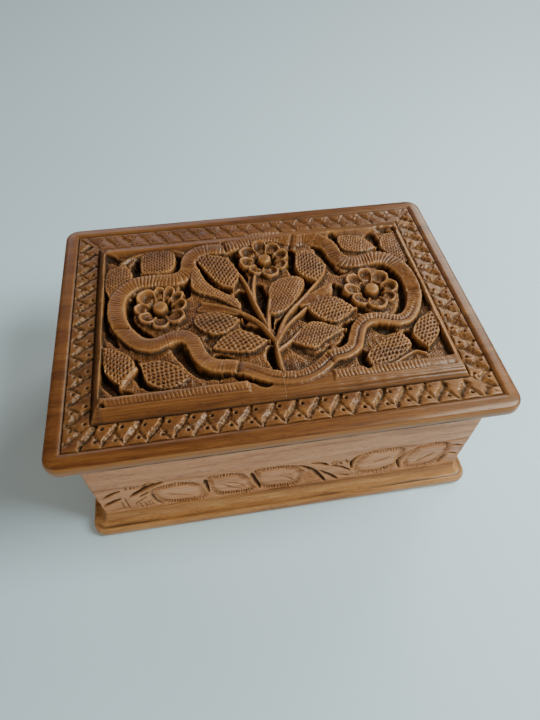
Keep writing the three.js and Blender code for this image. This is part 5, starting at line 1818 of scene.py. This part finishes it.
def screw(size: ScrewSize, at: Point, z: float, up: int, slot_angle: float) -> Shell:
    """A countersunk wood screw with a slotted head.

    The slot is a smooth-sided trench across the head: each point of the head's face sinks by how far it lies
    within the slot's half width of its middle line. The thread is a ripple of the shank's radius that winds
    once round for each pitch.

    Args:
        size: its sizes.
        at: where it stands.
        z: height of its head's face.
        up: 1 if its point is above its head, -1 if below.
        slot_angle: direction of the slot, in degrees.

    Returns:
        The screw.
    """
    steps = 36
    angle = np.arange(steps) / steps * 2 * math.pi
    head, shank = size.head, size.shank
    face = [(r, 0.0) for r in np.linspace(0.02, head - 0.08, 9)]
    cone = [(head, 0.08), (shank, size.head_height)]
    thread_start = size.head_height + 0.2 * (size.length - size.head_height)
    thread = [(shank, h) for h in np.linspace(thread_start, size.length - 2 * shank, 40)]
    point = [(0.5 * shank, size.length - shank), (0.02, size.length)]
    radius, height = np.array([*face, *cone, *thread, *point]).T[:, :, None]
    pitch = 0.9 * shank
    winding = 0.5 + 0.5 * np.cos(2 * math.pi * height / pitch - angle)
    threaded = np.zeros_like(radius)
    threaded[len(face) + len(cone) + 1 : -len(point)] = 1
    radius = radius - 0.22 * shank * threaded * winding
    turn = math.radians(slot_angle)
    aside = abs(radius * np.sin(angle - turn))
    on_face = np.zeros_like(height)
    on_face[: len(face)] = 1
    trench = 0.55 * size.head_height * on_face * smoothstep((0.2 * head - aside) / (0.08 * head))
    x = at[0] + radius * np.cos(angle)
    y = at[1] + radius * np.sin(angle)
    return Shell(np.stack((x, y, z + up * (height + trench)), -1))


def countersink(size: ScrewSize, at: Point, z: float, up: int) -> Shell:
    """The cutter for a screw's head and the start of its hole, turned from a profile.

    Args:
        size: the screw's sizes.
        at: where it stands.
        z: height of its head's face.
        up: 1 if its point is above its head, -1 if below.

    Returns:
        The cutter.
    """
    wide, narrow = size.head + 0.06, size.shank + 0.12
    profile = [(wide, -1.5), (wide, 0.05), (narrow, size.head_height), (narrow, size.head_height + 1.2)]
    return lathe([(r, up * h) for r, h in profile], (*at, z), 2, 24)


def hinge_screw_places(x: float) -> list[Point]:
    """Where a hinge's screws stand, seen from above."""
    y = (LEAF_INNER_Y + LEAF_OUTER_Y) / 2
    return [(x + side * (HINGE_LENGTH / 2 - HINGE_SCREW_INSET), y) for side in (-1, 1)]


def lid_hinge_cuts() -> list[Shell]:
    """Cutters for the leaf mortises and barrel grooves in the lid's underside.

    A mortise is a block, and a groove is turned round the hinge's axis.
    """
    top = WALL_TOP + HINGE_LEAF_SINK + HINGE_LEAF_THICKNESS
    groove = HINGE_BARREL_RADIUS + BARREL_CLEARANCE
    cuts = []
    for x in HINGE_XS:
        half = HINGE_LENGTH / 2
        cuts.append(cuboid((x - half, LEAF_INNER_Y, WALL_TOP - 1), (x + half, HINGE_Y, top)))
        reach = half + BARREL_CLEARANCE
        cuts.append(lathe([(groove, -reach), (groove, reach)], (x, HINGE_Y, WALL_TOP), 0, 32))
    return cuts


def wall_hinge_cuts() -> list[Shell]:
    """Cutters for the leaf mortises in the back wall's top."""
    low = WALL_TOP - HINGE_LEAF_SINK - HINGE_LEAF_THICKNESS
    half = HINGE_LENGTH / 2
    return [cuboid((x - half, LEAF_INNER_Y, low), (x + half, HINGE_Y, WALL_TOP + 1)) for x in HINGE_XS]


@dataclass(frozen=True)
class ButtHinge:
    """A brass butt hinge: two leaves with rolled knuckles, a steel pin, and four screws."""

    name: str
    x: float
    palette: Palette

    def build_leaf(self, on_lid: bool) -> Object:
        """One leaf: a plate with countersunk holes, and its knuckles rolled round the pin.

        Args:
            on_lid: whether it is the lid's leaf, which has the middle knuckle.

        Returns:
            The leaf.
        """
        up = 1 if on_lid else -1
        half, middle = HINGE_LENGTH / 2, HINGE_MIDDLE_KNUCKLE / 2
        outer = middle + KNUCKLE_GAP
        spans = [(-middle, middle)] if on_lid else [(-half, -outer), (outer, half)]
        face = WALL_TOP + up * HINGE_LEAF_SINK
        buried = face + up * HINGE_LEAF_THICKNESS
        low, high = sorted((face, buried))
        plate = cuboid((self.x - half, LEAF_INNER_Y, low), (self.x + half, LEAF_OUTER_Y, high), 0.12)
        shells = [plate]
        bore, rim = PIN_RADIUS + 0.06, HINGE_BARREL_RADIUS
        for start, end in spans:
            profile = [
                (bore, start), (rim - 0.12, start), (rim, start + 0.12), (rim, end - 0.12), (rim - 0.12, end),
                (bore, end),
            ]
            ring = lathe(profile, (self.x, HINGE_Y, WALL_TOP), 0, 40)
            shells.append(Shell(ring.rings, closed=True))
            web = (self.x + start, LEAF_OUTER_Y - 0.3, low), (self.x + end, HINGE_Y - bore - 0.1, high)
            shells.append(cuboid(*web))
        size = LID_HINGE_SCREW if on_lid else WALL_HINGE_SCREW
        holes = [countersink(size, at, face, up) for at in hinge_screw_places(self.x)]
        kind = "lid_leaf" if on_lid else "wall_leaf"
        node = f"{self.name}_{kind}"
        body = "lid" if on_lid else "box"
        return add_piece(f"brass_{node}", shells, self.palette.brass, body, [node], holes)

    def build(self) -> list[Object]:
        """Makes the leaves, the pin and the screws."""
        pieces = [self.build_leaf(True), self.build_leaf(False)]
        reach = HINGE_LENGTH / 2 + PIN_OVERRUN
        profile = [
            (0.02, -reach), (0.45, -reach + 0.03), (PIN_RADIUS, -reach + 0.2), (PIN_RADIUS, reach - 0.2),
            (0.45, reach - 0.03), (0.02, reach),
        ]
        pin = lathe(profile, (self.x, HINGE_Y, WALL_TOP), 0, 24)
        node = f"{self.name}_pin"
        pieces.append(add_piece(f"steel_{node}", [pin], self.palette.pin, "box", [node]))
        kinds = (("wall", WALL_HINGE_SCREW, -1, "box"), ("lid", LID_HINGE_SCREW, 1, "lid"))
        for number, at in enumerate(hinge_screw_places(self.x), 1):
            for kind, size, up, body in kinds:
                node = f"{self.name}_{kind}_screw_{number}"
                shell = screw(size, at, WALL_TOP + up * HINGE_LEAF_SINK, up, 37.0 * number + 20 * up)
                pieces.append(add_piece(f"slotted_{node}", [shell], self.palette.brass_screw, body, [node]))
        return pieces


def base_screw_places() -> list[Point]:
    """Where the base's screws stand: in the middle of each wall's thickness, in the CAD model's order."""
    x = BODY_HALF[0] - BASE_SCREW_INSET
    y = BODY_HALF[1] - WALL_THICKNESS / 2
    end = BODY_HALF[0] - WALL_THICKNESS / 2
    return [(-x, -y), (x, -y), (-x, y), (x, y), (-end, 0.0), (end, 0.0)]


def build_base_screws(palette: Palette) -> list[Object]:
    """Makes the six screws up through the base."""
    pieces = []
    for number, at in enumerate(base_screw_places(), 1):
        shell = screw(BASE_SCREW, at, BASE_SCREW_SINK, 1, 47.0 * number)
        node = f"base_screw_{number}"
        pieces.append(add_piece(f"slotted_{node}", [shell], palette.steel_screw, "box", [node]))
    return pieces


# Stage


# The point that the lights face, in metres.
BOX_MIDDLE = Vector((0, 0, 0.03))


@dataclass(frozen=True)
class Studio:
    """A pale table, soft lights round it of which the right one is nearest, and the photograph's camera.

    Attributes:
        focal_pixels: the lens's focal length in pixels of the 540 x 720 photograph.
        long_side: the photograph's height in pixels.
        camera_at: where the camera stands, in millimetres.
        yaw: how far it is turned from +Y towards +X, in degrees.
        pitch: how far it looks down.
        roll: how far it is tilted.
    """

    focal_pixels: float = 517.9
    long_side: float = 720.0
    camera_at: tuple[float, float, float] = (-21.99, -129.70, 200.67)
    yaw: float = 10.23
    pitch: float = 52.62
    roll: float = 1.21

    def build_camera(self) -> None:
        """Makes the camera and sets it as the scene's."""
        data = bpy.data.cameras.new("camera")
        data.sensor_width = 36.0
        data.lens = self.focal_pixels / self.long_side * data.sensor_width
        data.clip_start, data.clip_end = 0.01, 20.0
        camera = bpy.data.objects.new("camera", data)
        yaw, pitch, roll = (math.radians(value) for value in (self.yaw, self.pitch, self.roll))
        look = Vector((math.sin(yaw) * math.cos(pitch), math.cos(yaw) * math.cos(pitch), -math.sin(pitch)))
        right = Vector((math.cos(yaw), -math.sin(yaw), 0))
        up = right.cross(look)
        tilted_right = math.cos(roll) * right + math.sin(roll) * up
        tilted_up = math.cos(roll) * up - math.sin(roll) * right
        turn = Matrix((tilted_right, tilted_up, -look)).transposed().to_4x4()
        camera.matrix_world = Matrix.Translation(Vector(self.camera_at) * MM) @ turn
        bpy.context.scene.collection.objects.link(camera)
        bpy.context.scene.camera = camera

    def build_floor(self) -> None:
        """Makes the table top."""
        paint = {"Base Color": linear("#c6dbe1"), "Roughness": 0.7}
        reach = 3.0
        corners = [(x * reach, y * reach, 0) for x, y in ((-1, -1), (1, -1), (1, 1), (-1, 1))]
        mesh = bpy.data.meshes.new("table_top")
        mesh.from_pydata(corners, [], [(0, 1, 2, 3)])
        mesh.materials.append(new_material("matt_painted_table", lambda tree: paint))
        floor = bpy.data.objects.new("table_top", mesh)
        bpy.context.scene.collection.objects.link(floor)

    def add_window(self, name: str, at: Sequence[float], size: Point, power: float, colour: str) -> None:
        """Adds a rectangular area light that faces the box.

        Args:
            name: the light's name.
            at: where it is, in metres.
            size: its width and height in metres.
            power: in watts.
            colour: as sRGB hex.
        """
        data = bpy.data.lights.new(name, "AREA")
        data.shape = "RECTANGLE"
        data.size, data.size_y = size
        data.energy = power
        data.color = linear(colour)[:3]
        light = bpy.data.objects.new(name, data)
        light.location = at
        light.rotation_mode = "QUATERNION"
        light.rotation_quaternion = (BOX_MIDDLE - Vector(at)).to_track_quat("-Z", "Y")
        bpy.context.scene.collection.objects.link(light)

    def build(self) -> None:
        """Makes the camera, the table, the lights and the room's pale glow."""
        self.build_camera()
        self.build_floor()
        self.add_window("window_right", (0.37, -0.1, 0.45), (0.3, 0.3), 5.0, "#ecf8fb")
        self.add_window("window_back", (-0.3, 1.4, 0.7), (1.0, 0.5), 4.5, "#dfe4f5")
        self.add_window("window_back_right", (0.7, 0.7, 0.6), (0.5, 0.5), 6.2, "#f6f6f1")
        self.add_window("window_left", (-1.0, -0.7, 0.8), (0.8, 0.8), 5.8, "#fff3df")
        self.add_window("window_front", (0.5, -1.4, 0.3), (1.8, 0.4), 8.0, "#fdf3e4")
        world = bpy.data.worlds.new("room")
        world.use_nodes = True
        background = world.node_tree.nodes["Background"]
        background.inputs["Color"].default_value = linear("#f2e8dc")
        background.inputs["Strength"].default_value = 0.06
        bpy.context.scene.world = world


def main() -> None:
    """Builds every sub-assembly in order and reports its pieces."""
    logging.basicConfig(level=logging.INFO, format="%(name)s: %(message)s")
    palette = make_palette()
    Studio().build()
    screw_cuts = [countersink(BASE_SCREW, at, BASE_SCREW_SINK, 1) for at in base_screw_places()]
    pieces = CarvedCase(palette, wall_hinge_cuts(), screw_cuts).build()
    pieces += CarvedLid(palette, lid_hinge_cuts()).build()
    for name, x in zip(("left_hinge", "right_hinge"), HINGE_XS, strict=True):
        pieces += ButtHinge(name, x, palette).build()
    pieces += build_base_screws(palette)
    LOG.info("%d pieces, %d faces in all", len(pieces), sum(len(piece.data.polygons) for piece in pieces))


if __name__ == "__main__":
    main()
